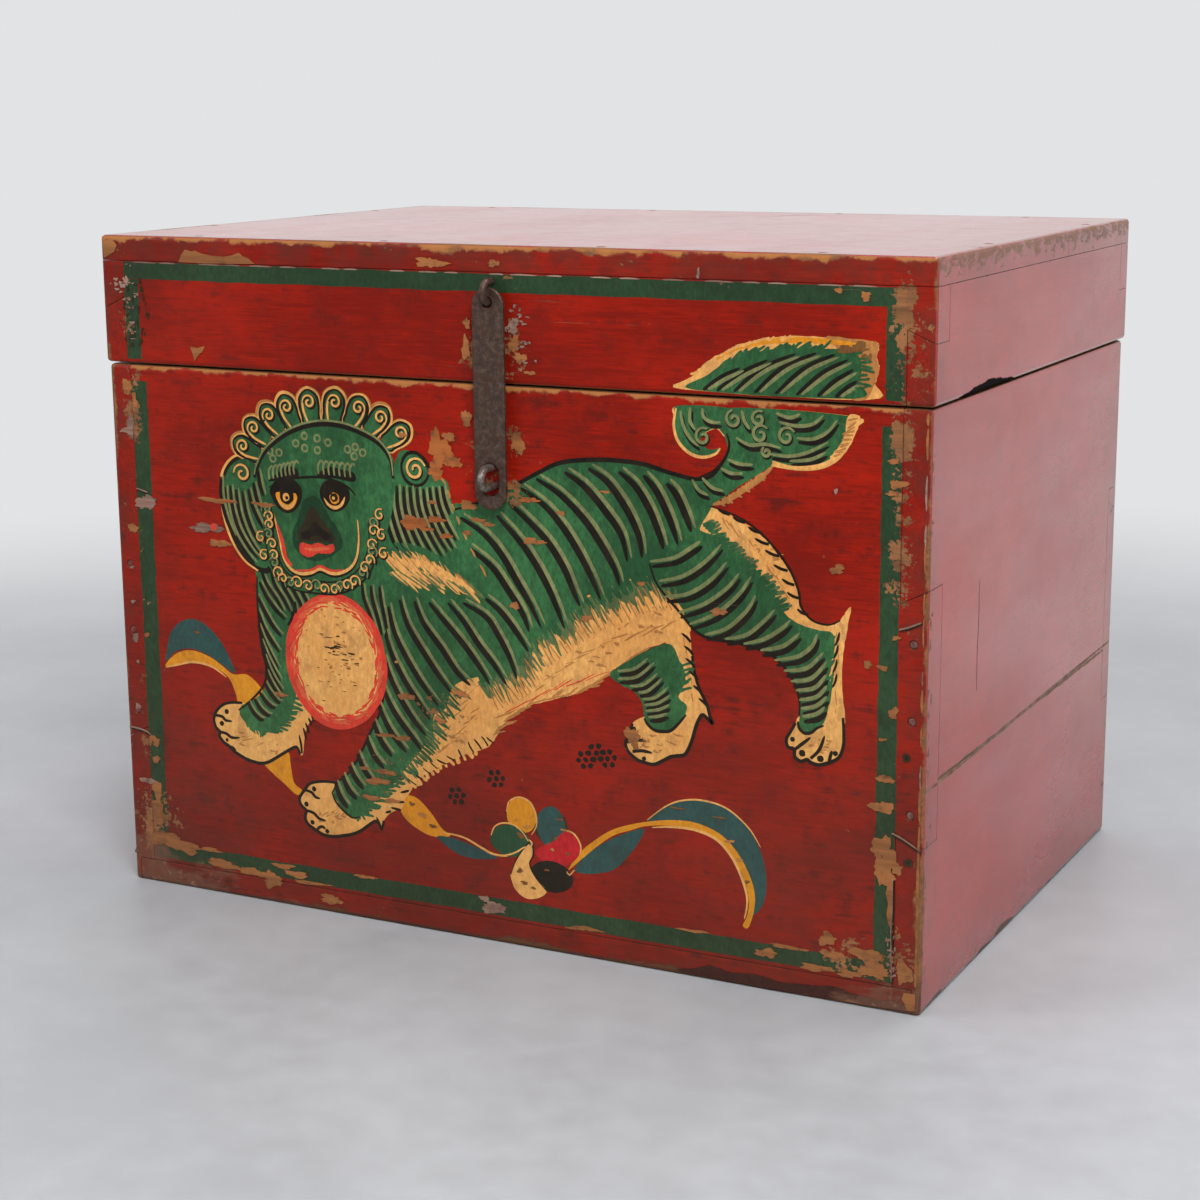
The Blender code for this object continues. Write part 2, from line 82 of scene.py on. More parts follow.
class Wires:
    """Short words for the nodes of one tree."""

    def __init__(self, tree):
        self.tree = tree

    def feed(self, socket, value):
        """Links a socket to another one, or sets it to a plain value."""
        if isinstance(value, bpy.types.NodeSocket):
            self.tree.links.new(value, socket)
        else:
            socket.default_value = value

    def put(self, kind, inputs=None, **settings):
        made = self.tree.nodes.new(kind)
        for key, value in settings.items():
            setattr(made, key, value)
        for key, value in (inputs or {}).items():
            self.feed(made.inputs[key], value)
        return made

    def math(self, operation, *values):
        return self.put("ShaderNodeMath", dict(enumerate(values)), operation=operation).outputs[0]

    def vector(self, operation, *values):
        return self.put("ShaderNodeVectorMath", dict(enumerate(values)), operation=operation).outputs[0]

    def plus(self, first, second):
        return self.math("ADD", first, second)

    def minus(self, first, second):
        return self.math("SUBTRACT", first, second)

    def times(self, first, second):
        return self.math("MULTIPLY", first, second)

    def most(self, first, second):
        return self.math("MAXIMUM", first, second)

    def least(self, first, second):
        return self.math("MINIMUM", first, second)

    def amount(self, value):
        return self.math("ABSOLUTE", value)

    def sway(self, noise, reach):
        """Noise about zero that moves a line by up to half of reach to each side."""
        return self.times(self.minus(noise, 0.5), reach)

    def stretch(self, vector, factors):
        return self.vector("MULTIPLY", vector, factors)

    def inset(self, spot, box):
        """How far a point lies inside each pair of faces of a box, which is its centre and half its size."""
        away = self.vector("ABSOLUTE", self.vector("SUBTRACT", spot, box[0]))
        return self.parts(self.vector("SUBTRACT", box[1], away))

    def place(self):
        return self.put("ShaderNodeTexCoord").outputs["Object"]

    def parts(self, vector):
        node = self.put("ShaderNodeSeparateXYZ", {"Vector": vector})
        return node.outputs[0], node.outputs[1], node.outputs[2]

    def noise(self, vector, scale, detail=4.0, rough=0.55):
        inputs = {"Vector": vector, "Scale": scale, "Detail": detail, "Roughness": rough}
        return self.put("ShaderNodeTexNoise", inputs).outputs[0]

    def ease(self, value, low, high, first=0.0, last=1.0):
        inputs = {"Value": value, 1: low, 2: high, 3: first, 4: last}
        return self.put("ShaderNodeMapRange", inputs, interpolation_type="SMOOTHSTEP").outputs[0]

    def mix(self, factor, first, second):
        inputs = {0: factor, 6: first, 7: second}
        return self.put("ShaderNodeMix", inputs, data_type="RGBA").outputs[2]


def new_group(name, inputs, outputs):
    """An empty node group with named sockets, its wires, and its input and output nodes."""
    group = bpy.data.node_groups.new(name, "ShaderNodeTree")
    for label, kind, value in inputs:
        group.interface.new_socket(label, in_out="INPUT", socket_type=kind).default_value = value
    for label, kind in outputs:
        group.interface.new_socket(label, in_out="OUTPUT", socket_type=kind)
    source = group.nodes.new("NodeGroupInput")
    target = group.nodes.new("NodeGroupOutput")
    return group, Wires(group), source.outputs, target.inputs


FLOAT, VECTOR, COLOUR = "NodeSocketFloat", "NodeSocketVector", "NodeSocketColor"


def rgb(red, green, blue):
    return (red, green, blue, 1.0)


# %% [markdown]
# Old paint goes first where hands and floors rub it: along the edges. Every board lies on one of two
# boxes, the case or the lid. For a point on such a box, the distance to the nearest edge is the middle
# one of its three distances to the faces. Noise makes that worn line wander, and a second, finer noise
# leaves small chips anywhere. The group puts out the mask of lost paint and a wider mask for grime.

# %% Group: worn edges
worn_edges, w, given, result = new_group(
    "worn_edges",
    [("Centre", VECTOR, (0.0, 0.0, 0.0)), ("Half", VECTOR, (1.0, 1.0, 1.0)), ("Width", FLOAT, 0.004),
     ("Specks", FLOAT, 0.5)],
    [("Loss", FLOAT), ("Grime", FLOAT)],
)
spot = w.place()
dx, dy, dz = w.inset(spot, (given["Centre"], given["Half"]))
near = w.most(w.least(dx, dy), w.least(w.most(dx, dy), dz))
wander = w.noise(spot, 42.0, 7.0, 0.68)
broad = w.noise(spot, 11.0, 3.0, 0.5)
fine = w.noise(spot, 210.0, 5.0, 0.6)
reach = w.times(given["Width"], w.ease(broad, 0.44, 0.70, 0.30, 3.0))
shaky = w.plus(near, w.sway(wander, 0.012))
shaky = w.plus(shaky, w.sway(fine, 0.0035))
edge = w.minus(1.0, w.ease(w.minus(shaky, reach), -0.0008, 0.0008))
chip = w.plus(w.times(wander, 0.62), w.times(fine, 0.38))
chip = w.plus(chip, w.ease(near, 0.0, 0.035, 0.055, 0.0))
speck = w.times(w.ease(chip, 0.655, 0.672), given["Specks"])
w.feed(result["Loss"], w.most(edge, speck))
grime = w.times(w.ease(near, 0.03, 0.0), w.ease(wander, 0.3, 0.62))
w.feed(result["Grime"], grime)
print("group", worn_edges.name, len(worn_edges.nodes), "nodes")

# %% [markdown]
# Some places lose far more than the edges do: the glued corner joints, where two boards have moved
# against each other, and the wood round the hasp. Each is a soft weight, and clusters of noise decide
# where it breaks through. A broken chip shows wood, and in some of them the pale ground coat is still there.

# %% Group: broken chips
broken_chips, w, _, result = new_group("broken_chips", [], [("Loss", FLOAT), ("Pale", FLOAT)])
spot = w.place()
x, y, z = w.parts(spot)
clusters = w.noise(w.stretch(spot, (6.0, 6.0, 26.0)), 1.0, 3.0, 0.6)
joint = w.ease(w.amount(w.minus(w.amount(x), 0.2495)), 0.014, 0.001)
joint = w.times(joint, w.ease(clusters, 0.38, 0.60, 0.55, 1.25))
right_half = w.ease(x, -0.01, 0.01)
right_zone = w.ease(z, 0.215, 0.235, 0.45, 1.15)
left_zone = w.times(w.ease(z, 0.275, 0.295, 0.40, 1.15), w.ease(z, 0.330, 0.335, 1.0, 0.45))
left_zone = w.most(left_zone, w.ease(z, 0.105, 0.090, 0.40, 1.1))
zone = w.plus(w.times(right_half, right_zone), w.times(w.minus(1.0, right_half), left_zone))
weight = w.times(joint, zone)
WEAK_SPOTS = [
    (0.0065, 0.352, 0.030, 0.040, 0.85), (0.012, 0.286, 0.034, 0.036, 0.80),
    (0.240, 0.026, 0.045, 0.022, 0.9), (-0.245, 0.040, 0.035, 0.030, 0.85),
    (-0.257, 0.374, 0.016, 0.016, 0.5), (0.255, 0.360, 0.022, 0.045, 0.8),
    (-0.068, 0.098, 0.034, 0.026, 0.55), (-0.030, 0.134, 0.030, 0.026, 0.55),
    (0.092, 0.136, 0.012, 0.014, 0.6)
]
for cx, cz, rx, rz, most in WEAK_SPOTS:
    du = w.math("DIVIDE", w.minus(x, cx), rx)
    dv = w.math("DIVIDE", w.minus(z, cz), rz)
    weight = w.most(weight, w.ease(w.plus(w.times(du, du), w.times(dv, dv)), 1.0, 0.1, 0.0, most))
weight = w.times(weight, w.ease(y, -0.170, -0.180))
torn = w.noise(w.stretch(spot, (0.8, 1.0, 1.0)), 105.0, 8.0, 0.72)
grit = w.noise(spot, 460.0, 4.0, 0.6)
torn = w.plus(w.times(torn, 0.68), w.times(grit, 0.32))
torn = w.plus(torn, w.times(weight, 0.17))
scratch = w.noise(w.stretch(spot, (9.0, 9.0, 420.0)), 1.0, 4.0, 0.7)
loss = w.most(w.ease(torn, 0.672, 0.684), w.ease(scratch, 0.715, 0.74, 0.0, 0.55))
w.feed(result["Loss"], loss)
w.feed(result["Pale"], w.ease(w.noise(spot, 190.0, 5.0, 0.7), 0.58, 0.64))
print("group", broken_chips.name, len(broken_chips.nodes), "nodes")

# %% [markdown]
# Painted shade: the lower half of the front is darker than the upper half, the left end darker than the
# right, and a little more low down right of the middle. The two lower corners are brown with handling.
# Board and picture share these masks.

# %% Group: painted shade and foot dirt
shade_and_foot_dirt, w, _, result = new_group("shade_and_foot_dirt", [], [("PaintedShade", FLOAT), ("Corner", FLOAT)])
spot = w.place()
x, y, z = w.parts(spot)
patchy = w.noise(w.stretch(spot, (0.6, 1.0, 1.4)), 34.0, 6.0, 0.66)
# Painted shade: darker toward the bottom and the left, and a little low down on the right.
painted_shade = w.plus(w.ease(z, 0.25, 0.04, 0.0, 0.46), w.ease(x, -0.10, -0.27, 0.0, 0.20))
painted_shade = w.plus(painted_shade, w.times(w.ease(x, 0.08, 0.20, 0.0, 0.12), w.ease(z, 0.26, 0.18)))
w.feed(result["PaintedShade"], w.times(painted_shade, w.ease(patchy, 0.28, 0.62, 0.62, 1.0)))
handled = w.plus(w.times(w.minus(0.268, w.amount(x)), w.ease(x, -0.01, 0.01, 0.42, 0.8)), w.times(z, 1.5))
handled = w.plus(handled, w.sway(patchy, 0.16))
w.feed(result["Corner"], w.ease(handled, 0.052, 0.030))
print("group", shade_and_foot_dirt.name, len(shade_and_foot_dirt.nodes), "nodes")

# %% [markdown]
# A face is told by the way it looks. The front has a thinner, brighter and duller red than the sides and
# the top, which were rubbed with oil and still shine. Faces that look down were left bare. The board's own
# normal gives these masks, so a board whose end shows on another face takes on that face's finish there.

# %% Group: facing
facing, w, _, result = new_group("facing", [], [("Front", FLOAT), ("Top", FLOAT), ("Under", FLOAT)])
_, ny, nz = w.parts(w.put("ShaderNodeTexCoord").outputs["Normal"])
w.feed(result["Front"], w.ease(ny, -0.5, -0.8))
w.feed(result["Top"], w.ease(nz, 0.5, 0.8))
w.feed(result["Under"], w.ease(nz, -0.5, -0.8))
print("group", facing.name, len(facing.nodes), "nodes")

# %% [markdown]
# Softwood has long pale and dark streaks along the board. Noise that is stretched hard in one direction
# gives them, and the direction is an input because the front's grain runs left to right and the sides'
# grain runs front to back. Pores are a second, finer layer of the same.

# %% Group: wood grain
wood_grain, w, given, result = new_group(
    "wood_grain", [("Along", VECTOR, (6.0, 90.0, 90.0)), ("Pale", COLOUR, rgb(0.4, 0.17, 0.06)),
    ("Deep", COLOUR, rgb(0.2, 0.08, 0.03))], [("Color", COLOUR), ("Height", FLOAT)]
)
stretched = w.stretch(w.place(), given["Along"])
rings = w.noise(stretched, 1.0, 5.0, 0.6)
pores = w.noise(stretched, 5.5, 3.0, 0.55)
streak = w.plus(w.times(rings, 0.7), w.times(pores, 0.3))
tone = w.mix(w.ease(streak, 0.36, 0.64), given["Deep"], given["Pale"])
w.feed(result["Color"], tone)
w.feed(result["Height"], streak)
print("group", wood_grain.name, len(wood_grain.nodes), "nodes")

# %% [markdown]
# The paint is thin and brushed by hand, so it is never one colour: broad clouds where the coat is
# thicker, streaks where the grain shows through, and dark spots of old dirt. The group mixes three
# given tones and also puts out a roughness, because rubbed paint is smoother than dirty paint.

# %% Group: brushed paint
brushed_paint, w, given, result = new_group(
    "brushed_paint", [("Along", VECTOR, (6.0, 90.0, 90.0)), ("Bright", COLOUR, rgb(0.4, 0.03, 0.01)),
    ("Middle", COLOUR, rgb(0.26, 0.02, 0.01)), ("Dirty", COLOUR, rgb(0.1, 0.015, 0.01)),
    ("Dirt", FLOAT, 0.5), ("Polish", FLOAT, 0.0)], [("Color", COLOUR), ("Rough", FLOAT), ("Height", FLOAT)]
)
spot = w.place()
clouds = w.noise(spot, 7.5, 4.0, 0.6)
streak = w.noise(w.stretch(spot, given["Along"]), 2.4, 6.0, 0.70)
blotch = w.noise(spot, 70.0, 5.0, 0.65)
hairs = w.noise(w.stretch(spot, given["Along"]), 9.0, 4.0, 0.65)
thick = w.plus(w.times(clouds, 0.45), w.times(streak, 0.35))
thick = w.plus(thick, w.times(hairs, 0.20))
tone = w.mix(w.ease(thick, 0.42, 0.61), given["Middle"], given["Bright"])
dirt = w.times(w.ease(w.plus(streak, w.times(blotch, 0.8)), 0.88, 1.14), given["Dirt"])
tone = w.mix(dirt, tone, given["Dirty"])
w.feed(result["Color"], tone)
uneven = w.times(w.ease(blotch, 0.3, 0.7, -0.06, 0.06), w.ease(given["Polish"], 0.0, 0.2, 1.0, 0.15))
rough = w.plus(w.plus(uneven, 0.36), w.times(dirt, 0.12))
w.feed(result["Rough"], w.minus(rough, given["Polish"]))
w.feed(result["Height"], w.plus(w.times(streak, 0.7), w.times(blotch, 0.3)))
print("group", brushed_paint.name, len(brushed_paint.nodes), "nodes")

# %% [markdown]
# A board's finish puts these together: red paint outside, bare wood where it is lost, and bare wood on
# the inside. Inside is told by place alone: a point that lies in the hollow's own box. The bump makes the
# rim of each chip stand up a little, as a real coat of paint does.

# %% Boxes, tones and helpers of the boards
CASE_BOX = ((0.0, 0.0, 0.180), (0.265, 0.185, 0.180))
LID_BOX = ((0.0, 0.0005, 0.355), (0.2665, 0.1865, 0.055))
CASE_HOLLOW = ((0.0, 0.002, 0.177), (0.2498, 0.1653, 0.1624))
LID_HOLLOW = ((0.0, 0.0015, 0.3576), (0.2513, 0.1678, 0.0377))
GRAIN_ACROSS = (7.0, 110.0, 110.0)
GRAIN_BACK = (110.0, 7.0, 110.0)
PALE_WOOD, DEEP_WOOD = rgb(0.32, 0.132, 0.050), rgb(0.15, 0.062, 0.026)
OLD_WOOD, FOOT_WOOD = rgb(0.16, 0.075, 0.038), rgb(0.060, 0.026, 0.016)
RIM_WOOD = (rgb(0.50, 0.200, 0.055), rgb(0.30, 0.090, 0.026))
GROUND_COAT, GRIME_AND_SHADE, GAP_SHADOW_BLACK = rgb(0.31, 0.19, 0.125), rgb(0.080, 0.030, 0.020), rgb(0.006, 0.004, 0.004)
HANDLED = (rgb(0.150, 0.070, 0.044), rgb(0.270, 0.165, 0.115))
BOARD_IOR, PICTURE_IOR, FLAKE_IOR = 1.5, 1.27, 1.25


def shader_of(name, ior=1.45):
    """A fresh material with one principled shader, and its wires."""
    material = bpy.data.materials.new(name)
    material.use_nodes = True
    shader = material.node_tree.nodes["Principled BSDF"]
    shader.inputs["IOR"].default_value = ior
    return material, Wires(material.node_tree), shader


def group_in(wires, group, **values):
    """A shared group placed in a material, with its own values; hands back the outputs."""
    return wires.put("ShaderNodeGroup", values, node_tree=group).outputs


def relief(wires, shader, height, strength, depth, softened=None):
    """A bump for the shader; softened rounds the look of the edges by so much."""
    inputs = {"Height": height, "Strength": strength, "Distance": depth}
    if softened is not None:
        inputs["Normal"] = wires.put("ShaderNodeBevel", {"Radius": softened}, samples=4).outputs[0]
    bump = wires.put("ShaderNodeBump", inputs)
    wires.feed(shader.inputs["Normal"], bump.outputs["Normal"])


print("case box", CASE_BOX, "lid box", LID_BOX)

# %% [markdown]
# Some boards have losses of their own, each a mask that is 1 where the paint is gone: the glue line of a
# side, the rubbed upper rim of a front, the crumbling ends of the top, and a bite out of the lid's right
# side, whose broken gap is painted near black as painted shadow. The inside, the case's upper edge and
# faces that look down were never painted at all.

# %% Losses of single boards
FRONT_REDS = (rgb(0.38, 0.012, 0.0030), rgb(0.185, 0.008, 0.003), rgb(0.060, 0.008, 0.005))
SIDE_REDS = (rgb(0.46, 0.032, 0.022), rgb(0.37, 0.026, 0.018), rgb(0.18, 0.022, 0.015))
BITE, BITE_FOOT, BELOW_LID = (-0.098, 0.060, 0.0055), 0.3328, 0.36


def glue_line(w, z, seam, noise):
    line = w.plus(w.amount(w.minus(z, seam)), w.sway(noise, 0.005))
    return w.ease(line, 0.0016, 0.0007)


def rubbed_rim(w, z, rim, noise, front):
    drop = w.plus(w.minus(rim, z), w.sway(noise, 0.016))
    return w.times(w.ease(drop, 0.0030, 0.0012), front)


def crumbled_ends(w, spot, z, end_grain, face):
    crumbs = w.noise(w.stretch(spot, (1.0, 0.6, 1.3)), 150.0, 7.0, 0.7)
    crumbs = w.plus(crumbs, w.ease(z, end_grain, end_grain + 0.016, -0.08, 0.10))
    ends = w.times(w.minus(1.0, face["Front"]), w.minus(1.0, face["Top"]))
    return w.times(w.ease(crumbs, 0.545, 0.575, 0.0, 0.85), ends)


# The lid's lower edge broke away here; its gap is painted near black as painted shadow.
def shadowed_bite(w, x, y, z, bite, noise):
    along_y, reach, rise = bite
    arch = w.minus(1.0, w.amount(w.math("DIVIDE", w.minus(y, along_y), reach)))
    torn = w.plus(w.times(arch, rise), w.sway(noise, 0.006))
    below = w.ease(w.minus(w.minus(z, BITE_FOOT), torn), 0.0003, -0.0003)
    shadowed_gap = w.times(below, w.ease(x, 0.262, 0.264))
    return w.times(shadowed_gap, w.ease(arch, 0.0, 0.1))


def never_painted(w, spot, z, hollow, face):
    dx, dy, dz = w.inset(spot, hollow)
    inside = w.math("GREATER_THAN", w.least(w.least(dx, dy), dz), 0.0)
    lip = w.times(face["Top"], w.math("LESS_THAN", z, BELOW_LID))
    return w.most(inside, w.most(lip, face["Under"]))


print("bite", BITE)

# %% [markdown]
# The finish of a board then goes from the wood up: aged wood, the red over it wherever nothing took it
# off, and dirt and painted shade on top. The sides and the top have a coat of oil that shines. It is a
# clear coat, so the red below keeps its own dull roughness.

# %% Board finishes


def painted_board(name, box, hollow, along, dirt, width, seam=None, rim=None, bite=None, end_grain=None):
    """Red paint over wood; seam, rim, bite and end_grain give the places of a single board's losses; the
    bite's gap is painted shadow.
    """
    material, w, shader = shader_of(name, BOARD_IOR)
    spot = w.place()
    x, y, z = w.parts(spot)
    noise = w.noise(spot, 60.0, 6.0, 0.65)
    face, chips, low = (group_in(w, group) for group in (facing, broken_chips, shade_and_foot_dirt))
    front = face["Front"]
    wear = group_in(w, worn_edges, Centre=box[0], Half=box[1], Width=width, Specks=0.9)
    wood = group_in(w, wood_grain, Along=along, Pale=PALE_WOOD, Deep=DEEP_WOOD)
    bright, middle, dirty = (w.mix(front, side, ahead) for side, ahead in zip(SIDE_REDS, FRONT_REDS))
    polish = w.plus(w.ease(front, 0.0, 1.0, 0.15, 0.0), w.times(face["Top"], 0.05))
    spread = w.ease(front, 0.0, 1.0, 0.32, dirt)
    tones = {"Bright": bright, "Middle": middle, "Dirty": dirty}
    coat = group_in(w, brushed_paint, Along=along, Dirt=spread, Polish=polish, **tones)

    exposed = w.plus(w.ease(front, 0.0, 1.0, 0.25, 1.0), w.times(face["Top"], 0.2))
    loss = w.most(wear["Loss"], w.times(chips["Loss"], exposed))
    if seam is not None:
        loss = w.most(loss, glue_line(w, z, seam, noise))
    if rim is not None:
        rubbed = rubbed_rim(w, z, rim, noise, front)
        loss = w.most(loss, rubbed)
    if end_grain is not None:
        loss = w.most(loss, crumbled_ends(w, spot, z, end_grain, face))
    inside = never_painted(w, spot, z, hollow, face)
    bare = w.most(loss, inside)

    low_dirt = w.times(w.ease(z, 0.045, 0.0), w.ease(noise, 0.35, 0.6))
    soiled = w.times(w.most(wear["Grime"], low_dirt), w.ease(front, 0.0, 1.0, 0.35, 0.6))
    # Painted shade from the shared mask darkens the front toward the bottom and the left; the last few
    # millimetres above the floor are darker as well.
    painted_shade = w.most(w.times(low["PaintedShade"], front), w.ease(z, 0.006, 0.001, 0.0, 0.9))
    paint = w.mix(w.most(soiled, painted_shade), coat["Color"], GRIME_AND_SHADE)
    aged = w.mix(w.times(noise, 0.55), wood["Color"], OLD_WOOD)
    ground = w.times(w.times(chips["Pale"], w.minus(1.0, inside)), 0.5)
    aged = w.mix(w.times(ground, front), aged, GROUND_COAT)
    aged = w.mix(w.ease(z, 0.030, 0.004, 0.0, 0.75), aged, FOOT_WOOD)
    if rim is not None:
        aged = w.mix(w.times(rubbed, 0.85), aged, w.mix(noise, *RIM_WOOD))
    colour = w.mix(bare, paint, aged)
    corner = w.times(w.times(low["Corner"], front), w.ease(noise, 0.3, 0.6, 0.95, 0.5))
    colour = w.mix(corner, colour, w.mix(w.ease(chips["Pale"], 0.0, 1.0, 0.0, 0.8), *HANDLED))

    clouded = w.noise(w.stretch(spot, (1.0, 0.35, 1.2)), 17.0, 5.0, 0.62)
    oiled = w.minus(w.ease(front, 0.0, 1.0, 0.80, 0.0), w.times(face["Top"], 0.06))
    kept = w.times(w.ease(bare, 0.6, 1.0, 1.0, 0.35), w.ease(clouded, 0.3, 0.7, 0.70, 1.06))
    oiled = w.times(oiled, kept)
    rough = w.plus(w.times(bare, 0.28), coat["Rough"])
    if bite is not None:
        # Painted shadow: the bite's gap is near black, without oil and fully rough.
        shadowed_gap = shadowed_bite(w, x, y, z, bite, noise)
        colour = w.mix(shadowed_gap, colour, GAP_SHADOW_BLACK)
        oiled = w.times(oiled, w.minus(1.0, shadowed_gap))
        rough = w.most(rough, shadowed_gap)
    w.feed(shader.inputs["Base Color"], colour)
    w.feed(shader.inputs["Roughness"], rough)
    w.feed(shader.inputs["Coat Weight"], oiled)
    shader.inputs["Coat Roughness"].default_value = 0.20
    shader.inputs["Specular IOR Level"].default_value = 0.12
    brushed = w.times(coat["Height"], w.ease(front, 0.0, 1.0, 0.03, 0.22))
    grain = w.times(wood["Height"], w.ease(w.most(bare, front), 0.0, 1.0, 0.02, 0.4))
    height = w.plus(w.plus(w.times(w.minus(1.0, bare), 0.6), brushed), grain)
    relief(w, shader, height, 0.7, 0.00035, 0.0012)
    return material


CASE_RIM, LID_RIM, SIDE_SEAM = 0.332, 0.410, 0.1285
FOOT_HOLLOW = ((0.0, 0.0, 0.007), (0.30, 0.1844, 0.02))
red_front = painted_board(
    "red_paint_front", CASE_BOX, CASE_HOLLOW, GRAIN_ACROSS, 0.75, 0.0013, rim=CASE_RIM
)
red_foot = painted_board("red_paint_foot", CASE_BOX, FOOT_HOLLOW, GRAIN_ACROSS, 0.9, 0.0026)
red_side = painted_board("red_paint_side", CASE_BOX, CASE_HOLLOW, GRAIN_BACK, 0.6, 0.0016, seam=SIDE_SEAM)
red_lid = painted_board("red_paint_lid", LID_BOX, LID_HOLLOW, GRAIN_ACROSS, 0.6, 0.0014)
red_top = painted_board(
    "red_paint_top", LID_BOX, LID_HOLLOW, GRAIN_ACROSS, 0.6, 0.0020, rim=LID_RIM, end_grain=0.393
)
red_lid_side = painted_board("red_paint_lid_side", LID_BOX, LID_HOLLOW, GRAIN_BACK, 0.6, 0.0016, bite=BITE)
print("board finishes", [m.name for m in (red_front, red_foot, red_side, red_lid, red_top, red_lid_side)])

# %% [markdown]
# The iron is forged, so its face is dull and uneven: dark scale, brown rust in the hollows, and brighter
# metal where the strap is handled. The same group serves the strap, the staples and the nails with other
# tones.

# %% Iron finishes
forged_face, w, given, result = new_group(
    "forged_face", [("Scale", COLOUR, rgb(0.06, 0.05, 0.045)), ("Rubbed", COLOUR, rgb(0.2, 0.18, 0.16)),
    ("Rust", COLOUR, rgb(0.12, 0.05, 0.025)), ("Rusty", FLOAT, 0.5)],
    [("Color", COLOUR), ("Rough", FLOAT), ("Height", FLOAT)]
)
spot = w.place()
dents = w.noise(spot, 150.0, 3.0, 0.5)
grit = w.noise(spot, 700.0, 5.0, 0.65)
mottle = w.noise(spot, 260.0, 6.0, 0.7)
tone = w.mix(w.ease(mottle, 0.42, 0.66), given["Scale"], given["Rubbed"])
rust = w.times(w.ease(w.plus(dents, w.times(grit, 0.5)), 0.72, 0.92), given["Rusty"])
w.feed(result["Color"], w.mix(rust, tone, given["Rust"]))
w.feed(result["Rough"], w.plus(w.ease(mottle, 0.35, 0.65, 0.52, 0.36), w.times(rust, 0.3)))
w.feed(result["Height"], w.plus(w.times(dents, 0.75), w.times(grit, 0.25)))


def iron(name, scale, rubbed, rust, rusty, metal):
    material, w, shader = shader_of(name)
    face = group_in(w, forged_face, Scale=scale, Rubbed=rubbed, Rust=rust, Rusty=rusty)
    w.feed(shader.inputs["Base Color"], face["Color"])
    w.feed(shader.inputs["Roughness"], face["Rough"])
    shader.inputs["Metallic"].default_value = metal
    relief(w, shader, face["Height"], 0.8, 0.0007)
    return material


strap_iron = iron(
    "strap_iron", rgb(0.064, 0.037, 0.027), rgb(0.140, 0.092, 0.070), rgb(0.085, 0.036, 0.020), 0.55, 0.5
)
loop_iron = iron(
    "loop_iron", rgb(0.16, 0.125, 0.105), rgb(0.42, 0.37, 0.33), rgb(0.11, 0.055, 0.035), 0.35, 0.7
)
nail_iron = iron(
    "nail_iron", rgb(0.09, 0.068, 0.055), rgb(0.20, 0.16, 0.135), rgb(0.16, 0.06, 0.028), 0.8, 0.4
)
painted_nail = iron(
    "painted_nail", rgb(0.120, 0.050, 0.040), rgb(0.260, 0.120, 0.095), rgb(0.200, 0.020, 0.012), 1.0, 0.4
)

SIDE_BOARDS = ("case_left", "case_right")
counted = {}
for name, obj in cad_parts.items():
    if "nail" in name:
        finish = painted_nail if name.startswith("corner_nail_front") else nail_iron
    elif name == "catch_staple":
        finish = loop_iron
    elif "strap" in name or "staple" in name:
        finish = strap_iron
    elif name.startswith("bottom"):
        finish = red_foot
    elif name.startswith("lid_top"):
        finish = red_top
    elif name.startswith(SIDE_BOARDS):
        finish = red_side
    elif name in ("lid_left_rail", "lid_right_rail"):
        finish = red_lid_side
    elif name.startswith("lid"):
        finish = red_lid
    else:
        finish = red_front
    obj.data.materials.clear()
    obj.data.materials.append(finish)
    counted[finish.name] = counted.get(finish.name, 0) + 1
print("finishes on the solids", counted)

# %% [markdown]
# The picture on the front is laid down as a painter would: flat shapes first, then stripes, then lines.
# Each shape is a smooth outline through a few points, in millimetres on the front (right, up), turned
# into a very thin closed sheet of paint. Later coats lie a few hundredths of a millimetre further out,
# so they cover the earlier ones from every side without any trick of the camera. Within one coat every
# sheet still gets a depth of its own, because two faces in exactly the same plane would fight.

# %% Sheets of paint
COAT = 0.00004
FILMS = 0.000015
GOLDEN = 0.6180339887
SUNK = 0.00004
CASE_FRONT_Y, LID_FRONT_Y, CASE_RIGHT_X = -0.185, -0.186, 0.265
SURFACES = {
    "case_front": ("case", lambda u, v, d: (u, CASE_FRONT_Y - d, v)),
    "lid_front": ("lid", lambda u, v, d: (u, LID_FRONT_Y - d, v)),
    "case_right": ("case", lambda u, v, d: (CASE_RIGHT_X + d, u, v)),
}
coats = {}
laid = []
chance = random.Random(7718)


def bend(a, b, c, d, t):
    """One coordinate of a smooth curve from b to c, at the share t of the way; a and d steer it."""
    return 0.5 * (
        2 * b + (c - a) * t + (2 * a - 5 * b + 4 * c - d) * t * t + (3 * b - a - 3 * c + d) * t ** 3
    )


def through(points, closed=False, steps=6):
    """A smooth line through the given points."""
    count = len(points)
    line = []
    for i in range(count if closed else count - 1):
        if closed:
            four = [points[(i + k) % count] for k in (-1, 0, 1, 2)]
        else:
            four = [points[min(max(i + k, 0), count - 1)] for k in (-1, 0, 1, 2)]
        for s in range(steps):
            line.append(tuple(bend(*along, s / steps) for along in zip(*four)))
    if not closed:
        line.append(tuple(points[-1]))
    return line


def area(outline):
    return 0.5 * sum(
        a[0] * b[1] - b[0] * a[1] for a, b in zip(outline, outline[1:] + outline[:1])
    )


